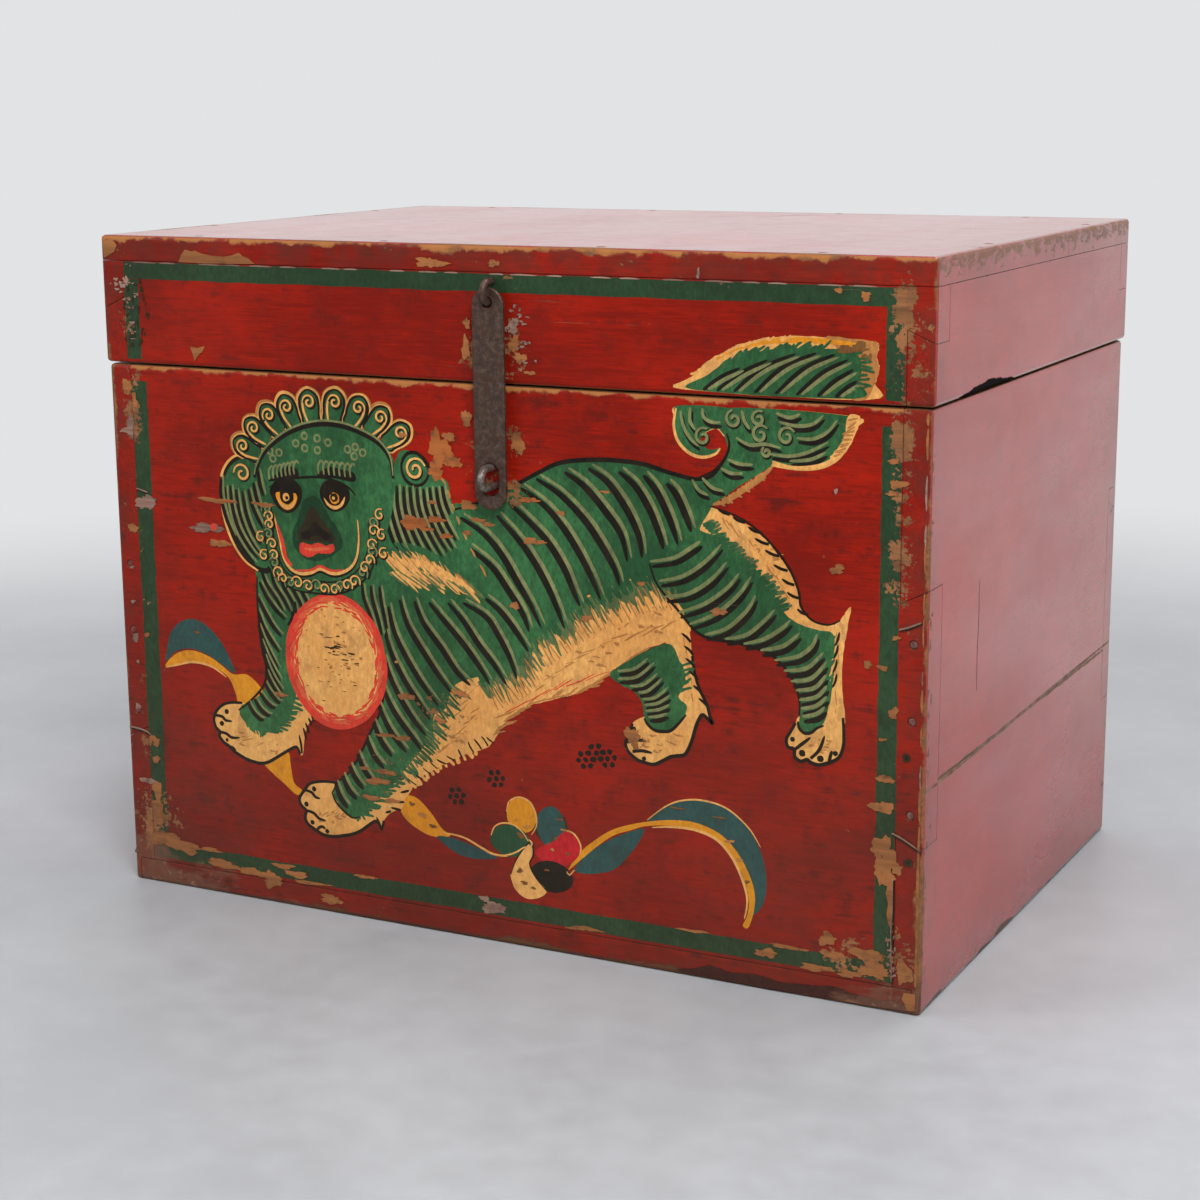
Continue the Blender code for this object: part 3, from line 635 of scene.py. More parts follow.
def sheet_of_paint(surface, paint, coat, outline, triangles):
    """Adds one thin closed sheet with this outline to the shapes of its paint."""
    bm = coats.setdefault((surface, paint), bmesh.new())
    place = SURFACES[surface][1]
    depth = coat * COAT + FILMS * (len(laid) * GOLDEN % 1.0)
    laid.append(paint)
    tops = [bm.verts.new(place(u / 1000, v / 1000, depth)) for u, v in outline]
    backs = [bm.verts.new(place(u / 1000, v / 1000, -SUNK)) for u, v in outline]
    for tri in triangles:
        corners = [outline[i] for i in tri]
        order = tri if area(corners) > 0 else tuple(reversed(tri))
        bm.faces.new([tops[i] for i in order])
        bm.faces.new([backs[i] for i in reversed(order)])
    count = len(outline)
    ring = list(range(count) if area(outline) > 0 else range(count - 1, -1, -1))
    for i, j in zip(ring, ring[1:] + ring[:1]):
        bm.faces.new((tops[i], backs[i], backs[j], tops[j]))


print("surfaces", list(SURFACES))

# %% [markdown]
# From that one sheet come the painter's own moves: a filled patch, a brush stroke that swells and tapers, a
# dot, a curl that winds in, and rows of short hairs. All of them draw their small accidents from one seeded
# source of chance, so every run paints the same picture.

# %% Patches, strokes and hairs


def patch(paint, coat, points, surface="case_front", steps=5, ragged=0.0, sharp=False):
    """A filled shape; ragged shakes its edge by so many millimetres."""
    outline = list(points) if sharp else through(points, True, steps)
    if ragged:
        outline = [
            (u + chance.uniform(-ragged, ragged), v + chance.uniform(-ragged, ragged)) for u, v in outline
        ]
    triangles = tessellate_polygon([[Vector((u, v, 0.0)) for u, v in outline]])
    sheet_of_paint(surface, paint, coat, outline, [tuple(t) for t in triangles])


def stroke(paint, coat, points, width, surface="case_front", ends=(0.25, 0.1), steps=6):
    """A brush stroke; ends gives the width left at its start and its end."""
    line = through(points, False, steps)
    count = len(line)
    one_side, other_side = [], []
    for i, (u, v) in enumerate(line):
        a, b = line[max(i - 1, 0)], line[min(i + 1, count - 1)]
        du, dv = b[0] - a[0], b[1] - a[1]
        length = math.hypot(du, dv) or 1.0
        t = i / (count - 1)
        swell = math.sin(math.pi * t) ** 0.55
        least = ends[0] + (ends[1] - ends[0]) * t
        half = 0.5 * width * (least + (1.0 - least) * swell)
        one_side.append((u - dv / length * half, v + du / length * half))
        other_side.append((u + dv / length * half, v - du / length * half))
    outline = one_side + other_side[::-1]
    last = 2 * count - 1
    triangles = []
    for i in range(count - 1):
        triangles += [(i, last - i, i + 1), (i + 1, last - i, last - i - 1)]
    sheet_of_paint(surface, paint, coat, outline, triangles)


def disc(paint, coat, centre, radius, surface="case_front", wobble=0.08, count=14):
    rx, ry = radius if isinstance(radius, tuple) else (radius, radius)
    outline = []
    for i in range(count):
        angle = 2 * math.pi * i / count
        size = 1 + chance.uniform(-wobble, wobble)
        outline.append((centre[0] + rx * size * math.cos(angle), centre[1] + ry * size * math.sin(angle)))
    patch(paint, coat, outline, surface, steps=2)


def curl(paint, coat, centre, radius, turns, start, width, way=1):
    """A spiral stroke that winds in to its centre."""
    count = max(8, int(turns * 10))
    points = []
    for i in range(count + 1):
        t = i / count
        angle = math.radians(start) + way * 2 * math.pi * turns * t
        r = radius * (1.0 - 0.82 * t)
        points.append((centre[0] + r * math.cos(angle), centre[1] + r * math.sin(angle)))
    stroke(paint, coat, points, width, ends=(0.5, 0.6), steps=3)


def fur(paint, coat, path, length, angle, width=1.3, spacing=2.2, spread=22.0, surface="case_front"):
    """Short tapered hairs along a path, all combed toward one angle."""
    line = through(path, False, 8)
    run = 0.0
    for (u0, v0), (u1, v1) in zip(line, line[1:]):
        run += math.hypot(u1 - u0, v1 - v0)
        if run < spacing:
            continue
        run = chance.uniform(-0.4, 0.4) * spacing
        turn_by = math.radians(angle + chance.uniform(-spread, spread))
        reach = length * chance.uniform(0.55, 1.25)
        tip = (u0 + reach * math.cos(turn_by), v0 + reach * math.sin(turn_by))
        middle = (
            (u0 + tip[0]) / 2 + chance.uniform(-0.4, 0.4), (v0 + tip[1]) / 2 + chance.uniform(-0.4, 0.4)
        )
        foot = (u0 - 1.5 * math.cos(turn_by), v0 - 1.5 * math.sin(turn_by))
        stroke(paint, coat, [foot, middle, tip], width * chance.uniform(0.7, 1.2), surface, (0.9, 0.0), 3)


print("coat", COAT, "films", FILMS)

# %% [markdown]
# Paint comes off in flakes with a broken edge: a few waves of different length round an oval, and a little
# chance on top. Small ones are sprinkled by the dozen.

# %% Flakes


def flake(paint, centre, radius, surface="case_front", coat=14, count=34, rough=0.42):
    """A place where the paint has come away, with a broken edge."""
    rx, ry = radius
    waves = [
        (k, chance.uniform(0.0, 2 * math.pi), chance.uniform(0.4, 1.0) / k ** 0.6) for k in (2, 3, 5, 8, 12)
    ]
    outline = []
    for i in range(count):
        angle = 2 * math.pi * i / count
        swing = sum(high * math.sin(k * angle + start) for k, start, high in waves)
        size = max(1 + rough * swing + chance.uniform(-0.1, 0.1), 0.25)
        outline.append((centre[0] + rx * size * math.cos(angle), centre[1] + ry * size * math.sin(angle)))
    patch(paint, coat, outline, surface, sharp=True)


def circle(centre, radius, step, count):
    """Points round a centre, so many degrees apart."""
    angles = [math.radians(step * k) for k in range(count)]
    return [(centre[0] + radius * math.cos(a), centre[1] + radius * math.sin(a)) for a in angles]


def sprinkle(paint, number, where, wide, high, surface="case_front", coat=14, count=12, rough=0.5):
    """Many small flakes at places that where() draws, in sizes between the given limits."""
    for _ in range(number):
        spot = where()
        flake(paint, spot, (chance.uniform(*wide), chance.uniform(*high)), surface, coat, count, rough)


print("sheets of paint so far", len(laid))

# %% [markdown]
# A green stripe runs round the front: down both ends of the case, along its foot, and round the lid.
# There is none along the split, so the two halves read as one picture. The edges were ruled by hand and
# waver by a fraction of a millimetre.

# %% Border stripes


def ruled(paint, surface, low, high):
    """A straight stripe between two corners with a slightly wavering edge."""
    (u0, v0), (u1, v1) = low, high
    across = abs(u1 - u0) > abs(v1 - v0)
    count = 40
    first, second = [], []
    for i in range(count + 1):
        t = i / count
        jitter = (chance.uniform(-0.35, 0.35), chance.uniform(-0.35, 0.35))
        if across:
            first.append((u0 + (u1 - u0) * t, v0 + jitter[0]))
            second.append((u0 + (u1 - u0) * t, v1 + jitter[1]))
        else:
            first.append((u0 + jitter[0], v0 + (v1 - v0) * t))
            second.append((u1 + jitter[1], v0 + (v1 - v0) * t))
    patch(paint, 1, first + second[::-1], surface, sharp=True)


ruled("border_green", "lid_front", (-250, 384), (250, 394.2))
ruled("border_green", "lid_front", (-250, 335.6), (-239.5, 384))
ruled("border_green", "lid_front", (239.5, 335.6), (250, 384))
ruled("border_green", "case_front", (-249, 27), (-237.5, 322))
ruled("border_green", "case_front", (238, 27), (249, 322))
ruled("border_green", "case_front", (-249, 17), (249, 27.5))
print("border stripes 6")

# %% [markdown]
# The animal is a guardian lion, a figure that many workshops have painted for centuries, walking left
# with its head turned to the viewer. First the pale coat that shows at belly, legs and paws, then the
# green of the body over it. Hairs along the border of the two are combed one into the other.

# %% Pale coat and paws
BELLY = [
    (122, 234), (100, 234), (80, 228), (60, 220), (30, 202), (5, 182), (-20, 172), (-40, 152), (-50, 120),
    (-62, 96), (-58, 84), (-50, 94), (-35, 104), (-20, 112), (-5, 118), (2, 124), (8, 134), (22, 146),
    (40, 152.5), (60, 159.5), (70, 167.5), (80, 174), (95, 186), (112, 194), (128, 202)
]
patch("cream", 2, BELLY, ragged=0.35)
fur("cream", 2, [(-55, 88), (-35, 104), (-5, 118)], 3, -50, 2.4, 2.2)
fur(
    "tan", 2.2, [(2, 127), (10, 137), (25, 148), (45, 155), (62, 161), (78, 173), (100, 189)], 9, 28, 1.0,
    1.7, 14
)
HAUNCH = [
    (133, 273), (140, 272.4), (152, 268.5), (163, 263.5), (171, 258), (178, 251), (184, 244), (189, 236),
    (191.5, 228), (193, 221), (200, 214.5), (209, 213), (215, 215.5), (220, 222.5), (222, 223.5),
    (220, 212), (218.5, 203), (217.5, 190), (218, 175), (219, 158), (205, 160), (205, 190), (195, 205),
    (175, 218), (160, 235), (145, 250), (131, 260)
]
patch("cream", 2, HAUNCH, ragged=0.25)
NEAR_PAW = [
    (193, 161), (191, 157), (187.9, 151.4), (185.7, 147.1), (186.7, 142.9), (190.2, 142.1), (190.7, 137.9),
    (194.3, 135.7), (197.9, 137.1), (200.5, 135.6), (205, 135), (209.3, 136.4), (212.1, 137.6),
    (216.4, 140.7), (218.6, 146.4), (219, 153), (218.4, 163), (212, 170), (204, 170)
]
FAR_LEG = [
    (121, 214), (127, 203), (129, 188), (130.7, 177.9), (133.6, 169.3), (137.9, 161.4), (140, 154.3),
    (141.4, 150.7), (136, 155), (133.6, 152.9), (131.4, 147.9), (129.3, 140.7), (127.1, 135),
    (124.3, 130.7), (119.3, 129.4), (115.7, 128.4), (110.7, 125.4), (105, 122.7), (97.9, 123.4),
    (94.3, 124.6), (89.3, 128.4), (87.6, 133.6), (90, 138), (92.1, 145), (95.7, 148), (102, 152),
    (112, 165), (112, 190)
]
FRONT_PAW = [
    (-108, 84), (-115, 84), (-122, 83), (-128, 81), (-131.6, 77), (-135.4, 72), (-136, 69), (-134.4, 66),
    (-131.4, 63.6), (-132, 60.4), (-132, 57.4), (-129.6, 54.4), (-124, 51.6), (-119, 49.6), (-112, 49.5),
    (-105, 51), (-98, 53), (-92, 56), (-86, 60.5), (-81, 63.6), (-78.4, 61.6), (-77, 59), (-75.4, 64.6),
    (-71, 69.6), (-66, 72.6), (-62, 74.6), (-60, 80), (-56, 87), (-66, 92), (-90, 92)
]
RAISED_PAW = [
    (-176, 126.5), (-184, 125.8), (-190, 124), (-195, 120), (-197, 116.5), (-198, 113), (-196.6, 108.6),
    (-193.8, 106), (-194.2, 103), (-191, 99.5), (-187, 97.4), (-183, 94.4), (-175, 91), (-168, 89.6),
    (-163, 89.5), (-158, 91), (-152, 94.5), (-145, 99), (-138, 103), (-135.6, 102), (-134.4, 98.6),
    (-132.4, 99), (-131.4, 105), (-130.4, 111), (-128.4, 117), (-125, 121.4), (-121.5, 123), (-122.6, 128),
    (-129, 136), (-138, 140), (-150, 128)
]
for paw, first, last in ((NEAR_PAW, 1, 17), (FAR_LEG, 2, 24), (FRONT_PAW, 0, 23), (RAISED_PAW, 0, 21)):
    patch("cream", 2.5, paw, steps=6)
    stroke("black", 3, paw[first:last], 2.2, ends=(0.7, 0.7))
COMBED = [
    ([(118, 218), (85, 205), (60, 192), (40, 178), (15, 152)], 16, 215),
    ([(120, 208), (90, 196), (64, 181), (40, 165), (15, 142)], 16, 208),
    ([(-8, 156), (-26, 130), (-42, 110)], 13, 225), ([(-2, 146), (-20, 124), (-36, 110)], 12, 215),
    ([(150, 262), (170, 248), (184, 230), (192, 218)], 8, 130),
    ([(214, 205), (215, 185), (214, 165)], 8, 95), ([(125, 195), (127, 178), (130, 160)], 7, 100),
    ([(105, 132), (118, 136), (126, 142)], 6, 170), ([(-120, 62), (-105, 64), (-90, 70)], 6, 30),
    ([(-180, 104), (-165, 101), (-150, 106)], 6, 20)
]
for path, reach, lean in COMBED:
    fur("tan", 3.2, path, reach, lean, 0.9, 1.9, 9)
    fur("cream", 3.4, path, reach * 0.9, lean, 1.0, 2.2, 10)
print("pale shapes", 6)

# %% [markdown]
# The green comes next: the body, the chest, the far thigh and the raised leg. Where green meets the pale
# coat, rows of hairs in both colours run into each other, so the border looks combed and not cut.

# %% Green body and legs
BODY = [
    (-22, 262), (-10, 262), (5, 268), (20, 276), (26, 280), (35, 284), (45, 289), (55, 291.5), (70, 293),
    (85, 293.5), (100, 292.5), (112, 290), (123, 286.5), (133, 284), (142, 277), (137, 266), (134, 259),
    (145, 256), (155, 250), (165, 242), (173, 233), (180, 224), (185, 216.5), (193, 212), (203, 210),
    (211.5, 209), (213, 200), (210, 188), (211.5, 176), (209, 164), (207, 158.3), (203.6, 156.4),
    (200, 153.3), (195.7, 152.9), (192.9, 155.7), (193.6, 162), (193, 171), (188, 183), (176, 194),
    (157, 198.5), (140, 199.5), (131, 203), (122, 214), (112, 229), (97, 230), (80, 223), (60, 214),
    (45, 203), (35, 195), (26, 188), (16, 176), (4, 164), (-12, 160), (-25, 153), (-30, 140), (-38, 135),
    (-40, 122), (-48, 112), (-60, 98), (-70, 86), (-83, 74), (-90, 66), (-98, 64), (-106, 70), (-111, 77),
    (-106, 85), (-98, 92), (-90, 104), (-82, 119), (-75, 132), (-71, 148), (-68, 165), (-70, 190),
    (-72, 205), (-66, 222), (-50, 235), (-35, 250)
]
patch("lion_green", 4, BODY, ragged=0.15)
FAR_THIGH = [
    (78, 172), (85, 178), (99, 187), (115, 193.5), (121, 185), (124.3, 179.3), (125, 173.6), (122.4, 167.9),
    (120.7, 163.6), (122.9, 161.4), (125.7, 159.3), (125, 154.3), (120.7, 149.3), (115.7, 144.6),
    (110.7, 143.3), (105.7, 143.6), (101.4, 146.4), (99.3, 150.7), (98.6, 156.4), (95.7, 161.4),
    (90.7, 165), (85, 166.5)
]
patch("lion_green", 4.5, FAR_THIGH, ragged=0.2)
CHEST = [
    (-158, 224), (-120, 226), (-60, 228), (-62, 205), (-66, 185), (-69, 160), (-90, 140), (-118, 140),
    (-132, 165), (-145, 185), (-160, 200)
]
patch("lion_green", 3.8, CHEST)
RAISED_LEG = [
    (-160, 208), (-161, 190), (-160, 182), (-158.4, 168), (-156, 155), (-155.6, 145), (-157.4, 140),
    (-161, 134.4), (-167, 129.4), (-172, 127.5), (-177.4, 123.6), (-178, 119), (-175, 115), (-170, 111.6),
    (-165, 110), (-160.5, 107.6), (-157, 111), (-153, 113.4), (-147, 116), (-142.6, 119), (-140, 123),
    (-138.6, 128), (-136.6, 133), (-135, 140), (-133, 148), (-130, 160), (-126, 180), (-122, 195),
    (-120, 205), (-140, 212)
]
patch("lion_green", 4.5, RAISED_LEG, ragged=0.2)
JOIN = [(113, 231), (97, 230), (80, 223), (60, 214), (45, 203), (26, 188), (14, 172), (-10, 159)]
fur("soft_green", 4.2, [(u + 2, v - 2) for u, v in JOIN], 15, -58, 4.2, 1.7, 10)
fur("lion_green", 4.6, JOIN, 9, -58, 4.4, 2.2, 10)
fur("cream", 5.0, [(u + 11, v - 18) for u, v in JOIN], 12, 124, 3.0, 2.4, 10)
fur("soft_green", 5.4, [(u + 3, v - 4) for u, v in JOIN], 13, -56, 1.3, 3.4, 10)
fur("tan", 5.4, [(u + 10, v - 17) for u, v in JOIN], 13, 124, 0.9, 3.2, 8)
fur("rim_red", 3.6, [(10, 142), (40, 158), (66, 168)], 16, 30, 0.6, 5.0, 10)
LEG_JOIN = [(-22, 154), (-32, 140), (-40, 126), (-50, 110), (-64, 94)]
fur("lion_green", 4.2, LEG_JOIN, 10, -35, 1.9, 1.8, 16)
fur("soft_green", 4.4, LEG_JOIN, 8, -35, 1.2, 2.6, 20)
HAUNCH_JOIN = [(137, 264), (150, 253), (165, 241), (175, 231), (185, 217)]
fur("soft_green", 4.6, HAUNCH_JOIN, 5.5, 20, 2.0, 1.5, 10)
fur("lion_green", 5.0, [(u - 1, v - 1) for u, v in HAUNCH_JOIN], 4.5, 20, 2.2, 1.6, 10)
fur("lion_green", 4.2, [(212, 205), (210, 188), (211, 174)], 6, 62, 1.5, 2.4)
fur("lion_green", 4.2, [(124, 184), (125, 174), (121, 164)], 6, 20, 1.5, 2.0)
fur("lion_green", 4.2, [(-174, 114), (-168, 111), (-160, 108)], 3, -80, 1.6, 1.8)
fur(
    "lion_green", 4.2, [(-158, 110), (-152, 114), (-144, 118), (-139, 126), (-136, 136)], 6.5, -4, 2.0, 1.5,
    14
)
fur("lion_green", 4.2, [(-108, 72), (-98, 65), (-90, 66)], 3, -70, 1.5, 1.9)
fur("lion_green", 4.2, [(-90, 66), (-82, 74), (-72, 84), (-64, 93)], 6, 8, 2.0, 1.6, 16)
print("green shapes 4, hairs combed into the pale coat")

# %% [markdown]
# Every limb is covered with curved stripes: an olive line with a black one beside it. One helper lays
# down both. The black lies under and a little to one side, so the pair looks like a single lit ridge of fur.

# %% Stripes


def striped(lines, shift, coat=6, dark=4.2, pale=2.5):
    for line in lines:
        stroke("black", coat, [(u + shift[0], v + shift[1]) for u, v in line], dark, ends=(0.35, 0.05))
        stroke("olive", coat + 1, line, pale, ends=(0.4, 0.1))


BACK_STRIPES = [
    [(-15, 257), (0, 249), (12, 237), (22, 222), (30, 210), (37, 197)],
    [(9, 260), (20, 250), (30, 239), (40, 224), (47, 210), (52, 198)],
    [(17, 268), (30, 258), (42, 247), (52, 233), (58, 220), (62, 212)],
    [(25, 277), (40, 268), (52, 256), (62, 242), (70, 228), (75, 217)],
    [(35, 283), (50, 275), (65, 262), (76, 248), (84, 235), (87, 226)],
    [(53, 288), (65, 281), (78, 268), (88, 255), (92, 240)],
    [(68, 291), (80, 284), (92, 269), (99, 255), (101, 243)],
    [(87, 290.5), (97, 283), (106, 270), (112, 256), (114, 249)],
    [(102, 289.5), (110, 281), (118, 266), (123, 252)], [(116, 286), (122, 280), (128, 268), (131, 260)],
    [(-10, 240), (5, 230), (15, 218), (25, 204), (29, 194)]
]
striped(BACK_STRIPES, (-2.5, -2.6))
CHEST_STRIPES = [
    [(0, 211), (10, 204), (20, 193), (28, 182)], [(-15, 207), (0, 200), (8, 190), (15, 178), (20, 165)],
    [(-25, 206), (-15, 196), (-5, 183), (5, 172), (13, 161)],
    [(-38, 205), (-28, 195), (-15, 182), (-5, 170), (2, 160)],
    [(-48, 205), (-42, 192), (-30, 178), (-20, 165), (-11, 158)],
    [(-58, 205), (-53, 190), (-42, 174), (-32, 161), (-24, 152)],
    [(-66, 200), (-62, 184), (-53, 168), (-43, 154), (-33, 143)],
    [(-69, 184), (-64, 170), (-56, 156), (-47, 144), (-39, 134)],
    [(-70, 168), (-65, 155), (-58, 143), (-50, 132), (-42, 124)],
    [(-72, 152), (-67, 141), (-60, 131), (-51, 121), (-46, 115)],
    [(-75, 139), (-69, 127), (-62, 118), (-56, 112)], [(-79, 128), (-73, 116), (-66, 108)],
    [(-84, 117), (-79, 107), (-72, 100)], [(-91, 107), (-86, 97), (-80, 90)],
    [(-97, 98.6), (-92.6, 91), (-87, 85)], [(-102.4, 91.6), (-97.6, 83), (-92, 78)],
    [(-107.4, 86), (-103.4, 77), (-98.6, 71.6)]
]
striped(CHEST_STRIPES, (-1.9, -2.6), dark=3.8, pale=2.2)
THIGH_STRIPES = [
    [(103.3, 239), (118.3, 242.5), (130, 250), (134, 253)],
    [(109, 228.5), (123.3, 232.5), (136.7, 241.7), (146.7, 252.5)],
    [(112.5, 220), (126.7, 223), (140, 231.7), (150, 243)],
    [(120.8, 211.7), (136.7, 218.3), (150, 228.3), (157, 237)],
    [(127.5, 205.8), (143.3, 213.3), (156.7, 225), (164.2, 236)],
    [(136.7, 200.8), (150, 205.8), (161.7, 216.7), (167, 226)],
    [(149, 199.6), (161.7, 203.3), (171.7, 211.7), (178.3, 219)],
    [(160, 198), (171.7, 201.7), (181.7, 208.3), (187.5, 214)],
    [(170, 195.4), (183.3, 199.2), (193, 207.5)],
    [(178.3, 190.8), (191.7, 194.2), (200, 200.8), (203, 208)], [(184, 185.5), (197, 188.3), (206.7, 198)],
    [(188, 180), (200, 183), (208.5, 193)], [(191, 175.3), (202, 178), (208.5, 186)],
    [(193, 170.2), (203, 173), (209, 180)], [(194, 165.4), (203, 168), (209, 174)],
    [(194.6, 161), (203, 163.4), (208, 168)]
]
striped(THIGH_STRIPES, (1.2, -2.8), dark=3.2, pale=2.3)
FAR_STRIPES = [
    [(83, 174.5), (93.6, 177), (102, 184)], [(83, 170), (95, 172.5), (106, 182)],
    [(90.7, 166.6), (99.3, 168.5), (108, 176)], [(95.7, 163.6), (102.1, 165.3), (111, 173.5)],
    [(98.6, 160), (106.4, 161.8), (114.3, 168.5)], [(99.6, 156.8), (107.9, 158.6), (115.5, 164)],
    [(100.3, 153.4), (108.6, 155), (115, 158.6)], [(102, 150), (108, 151), (114, 153.5)]
]
striped(FAR_STRIPES, (1.0, -2.2), dark=2.8, pale=1.8)
RAISED_STRIPES = [
    [(-158, 206), (-153, 197), (-146, 189), (-140, 184)],
    [(-160, 197), (-155, 188), (-149, 179), (-143, 173)],
    [(-160, 188), (-156, 178), (-150, 169), (-145, 163)],
    [(-160, 178.6), (-156, 169), (-151, 160), (-146, 152)],
    [(-158.6, 169), (-154.6, 160), (-150, 152), (-145, 145)],
    [(-156.6, 159.6), (-153, 151), (-148.6, 144), (-144, 138.6)],
    [(-155.6, 150), (-152, 143), (-147.6, 137), (-144.6, 134.6)],
    [(-157, 142.6), (-153, 137), (-148.6, 132.6), (-145.6, 131.4)],
    [(-161, 136.6), (-157, 131.6), (-152.6, 128.4), (-149.6, 128)],
    [(-165, 132), (-161.4, 126.6), (-156.6, 123), (-153.4, 122.6)],
    [(-170, 129), (-166.4, 123.4), (-161.6, 119.6), (-158.4, 119.4)]
]
striped(RAISED_STRIPES, (-1.6, -1.8), dark=3.0, pale=1.5)
NECK_STRIPES = [
    [(-156 + 7 * k, 213 - 0.6 * k), (-153 + 6.4 * k, 205 - 0.4 * k), (-146 + 5.6 * k, 196),
    (-141 + 5 * k, 188)] for k in range(5)
]
NECK_STRIPES += [[(-84 + 6 * k, 210), (-83 + 6 * k, 202), (-79 + 5 * k, 192),
    (-75 + 4 * k, 180)] for k in range(3)]
striped(NECK_STRIPES, (-1.8, -1.0), coat=5.2, dark=2.8, pale=1.6)
stroke(
    "black", 6, [(-24, 258), (-10, 262.4), (5, 268.4), (20, 276.5), (35, 284.6), (45, 289.5), (55, 292),
    (70, 293.6), (85, 294), (100, 293), (115, 289.5), (130, 287), (140, 289), (147, 297), (151, 305)], 2.6,
    ends=(0.3, 0.5)
)
stroke(
    "black", 6, [(103, 238), (108, 226), (122, 211.5), (131, 202.5), (140, 199), (157, 198), (176, 193.8),
    (188, 182.6), (193, 170.5), (193, 161)], 1.8, ends=(0.4, 0.4)
)
stroke(
    "black", 6, [(-161, 208), (-161.6, 190), (-160, 165), (-157, 150), (-160, 138.6), (-172, 126.6),
    (-179, 121.6)], 1.6, ends=(0.4, 0.4)
)
stroke(
    "black", 6, [(-69, 165), (-72, 148), (-76, 132), (-83, 119), (-91, 104), (-99, 92), (-107, 85),
    (-112, 77)], 1.6, ends=(0.4, 0.4)
)
stroke("black", 6, [(-112, 78), (-110, 73), (-106, 68.6), (-98, 63.6), (-92, 65)], 1.4, ends=(0.4, 0.2))
PAW_HAIRS = [
    ((-134.6, 111), (-133, 99.6)), ((-131.4, 116), (-129.8, 109)), ((-129.6, 119.4), (-127.6, 113)),
    ((-127.4, 122.6), (-125.6, 118)), ((-125.0, 124.4), (-123.8, 120.4)), ((-80.6, 66.4), (-77, 58.4)),
    ((-74, 70), (-70, 71.4)), ((-70, 73.6), (-63, 73)), ((-66, 77.6), (-60.6, 78.4)), ((-63, 84), (-57, 86))
]
for start, end in PAW_HAIRS:
    stroke(
        "black", 6, [start, ((start[0] + end[0]) / 2 + 0.4, (start[1] + end[1]) / 2), end], 1.5,
        ends=(0.2, 0.7), steps=3
    )
stroke(
    "black", 6, [(192.4, 158), (193, 154.6), (196, 152), (200, 152.6), (203.6, 155.6), (207.4, 157.4)], 1.9,
    ends=(0.5, 0.3)
)
stroke(
    "black", 6, [(99.6, 149), (101.6, 145.6), (106, 142.8), (111, 142.6), (116, 143.8), (121, 148.6),
    (125.4, 154)], 2.0, ends=(0.5, 0.3)
)
print(
    "stripes",
    len(BACK_STRIPES) + len(CHEST_STRIPES) + len(THIGH_STRIPES) + len(FAR_STRIPES) + len(RAISED_STRIPES)
)

# %% [markdown]
# Toes and the dark ticks along the haunch are single touches of a fine brush, wide where the brush
# lands and thin where it leaves.

# %% Toes and ticks
TOE_DOTS = [
    ((189.3, 147.6), 1.4), ((195, 140.4), 1.9), ((205.7, 138.6), 1.9), ((214.3, 142.6), 1.5),
    ((99.3, 125.4), 1.3), ((93, 142), 1.4), ((-125, 78), 1.6), ((-131, 67.6), 1.6), ((-127, 56.6), 1.5),
    ((-116.4, 52.2), 1.4), ((-188, 119.6), 1.6), ((-192, 111.6), 1.6), ((-188.6, 101.4), 1.1)
]
for centre, radius in TOE_DOTS:
    disc("black", 5, centre, radius)
TOE_LINES = [
    [(190, 141.4), (195, 145.7), (200, 150)], [(200, 138), (205, 143.6), (208, 152)],
    [(210.7, 137.4), (211.4, 140.6), (212.4, 144)], [(88.5, 133.6), (95, 135.7), (101, 135.7)],
    [(92, 128.6), (98, 129.8), (104.5, 129.2)], [(-132, 76.6), (-127, 75.6), (-124, 73), (-120.6, 72.6)],
    [(-131.4, 63.6), (-126, 62.6), (-122, 59.6), (-117, 59)],
    [(-124, 51.8), (-122, 54), (-119.6, 54.6), (-117.6, 53.4)],
    [(-197, 116.4), (-191.6, 116), (-189, 114), (-184, 113.8)],
    [(-193.8, 106), (-189, 105.4), (-185, 103.4), (-178.6, 104)], [(-187, 97.4), (-184.6, 96.8), (-182, 95)]
]
for line in TOE_LINES:
    stroke("black", 5, line, 2.0, ends=(0.9, 0.0))
ticks = [
    ((150, 268.6), 6), ((159, 264.8), 6), ((168, 260), 6), ((173, 254), 7), ((179, 248), 7),
    ((184, 240.5), 7), ((188, 233), 6), ((191, 226), 6), ((196, 217.4), 5)
]
for (u, v), reach in ticks:
    stroke(
        "black", 6, [(u + 1.5, v + 0.4), (u - reach * 0.4, v + 1.2), (u - reach, v + 3.2)], 1.7,
        ends=(0.9, 0.0), steps=3
    )
stroke(
    "black", 6, [(138, 273), (152, 269.6), (165, 263.6), (178, 252.6), (187, 241), (192, 230),
    (193.6, 221.6), (200, 215), (209, 213.4), (216, 216.4)], 1.3, ends=(0.2, 0.5)
)
for u, v in ((214.6, 206), (214, 199), (213.5, 191), (213.5, 183)):
    stroke("black", 6, [(u - 1.5, v - 4), (u + 0.3, v), (u + 1.0, v + 4)], 1.4, ends=(0.2, 0.3), steps=3)
for u, v in ((126.5, 198), (128, 191), (129, 184), (131, 177), (133.6, 169), (137, 162)):
    stroke(
        "black", 6, [(u + 1.6, v - 2.4), (u - 0.4, v), (u - 4.2, v + 2.4)], 1.6, ends=(0.9, 0.0), steps=3
    )
fur("black", 6, [(-56, 88), (-38, 103), (-15, 115), (2, 124)], 5, 140, 0.9, 4.5)
print("toes", len(TOE_DOTS), "ticks", len(ticks))

# %% [markdown]
# The tail is a plume. It starts on the case and its tip lies on the lid, so it is two paintings that
# meet at the split and part when the lid is opened. Its edge is pale at the rim with dark stripes inside.

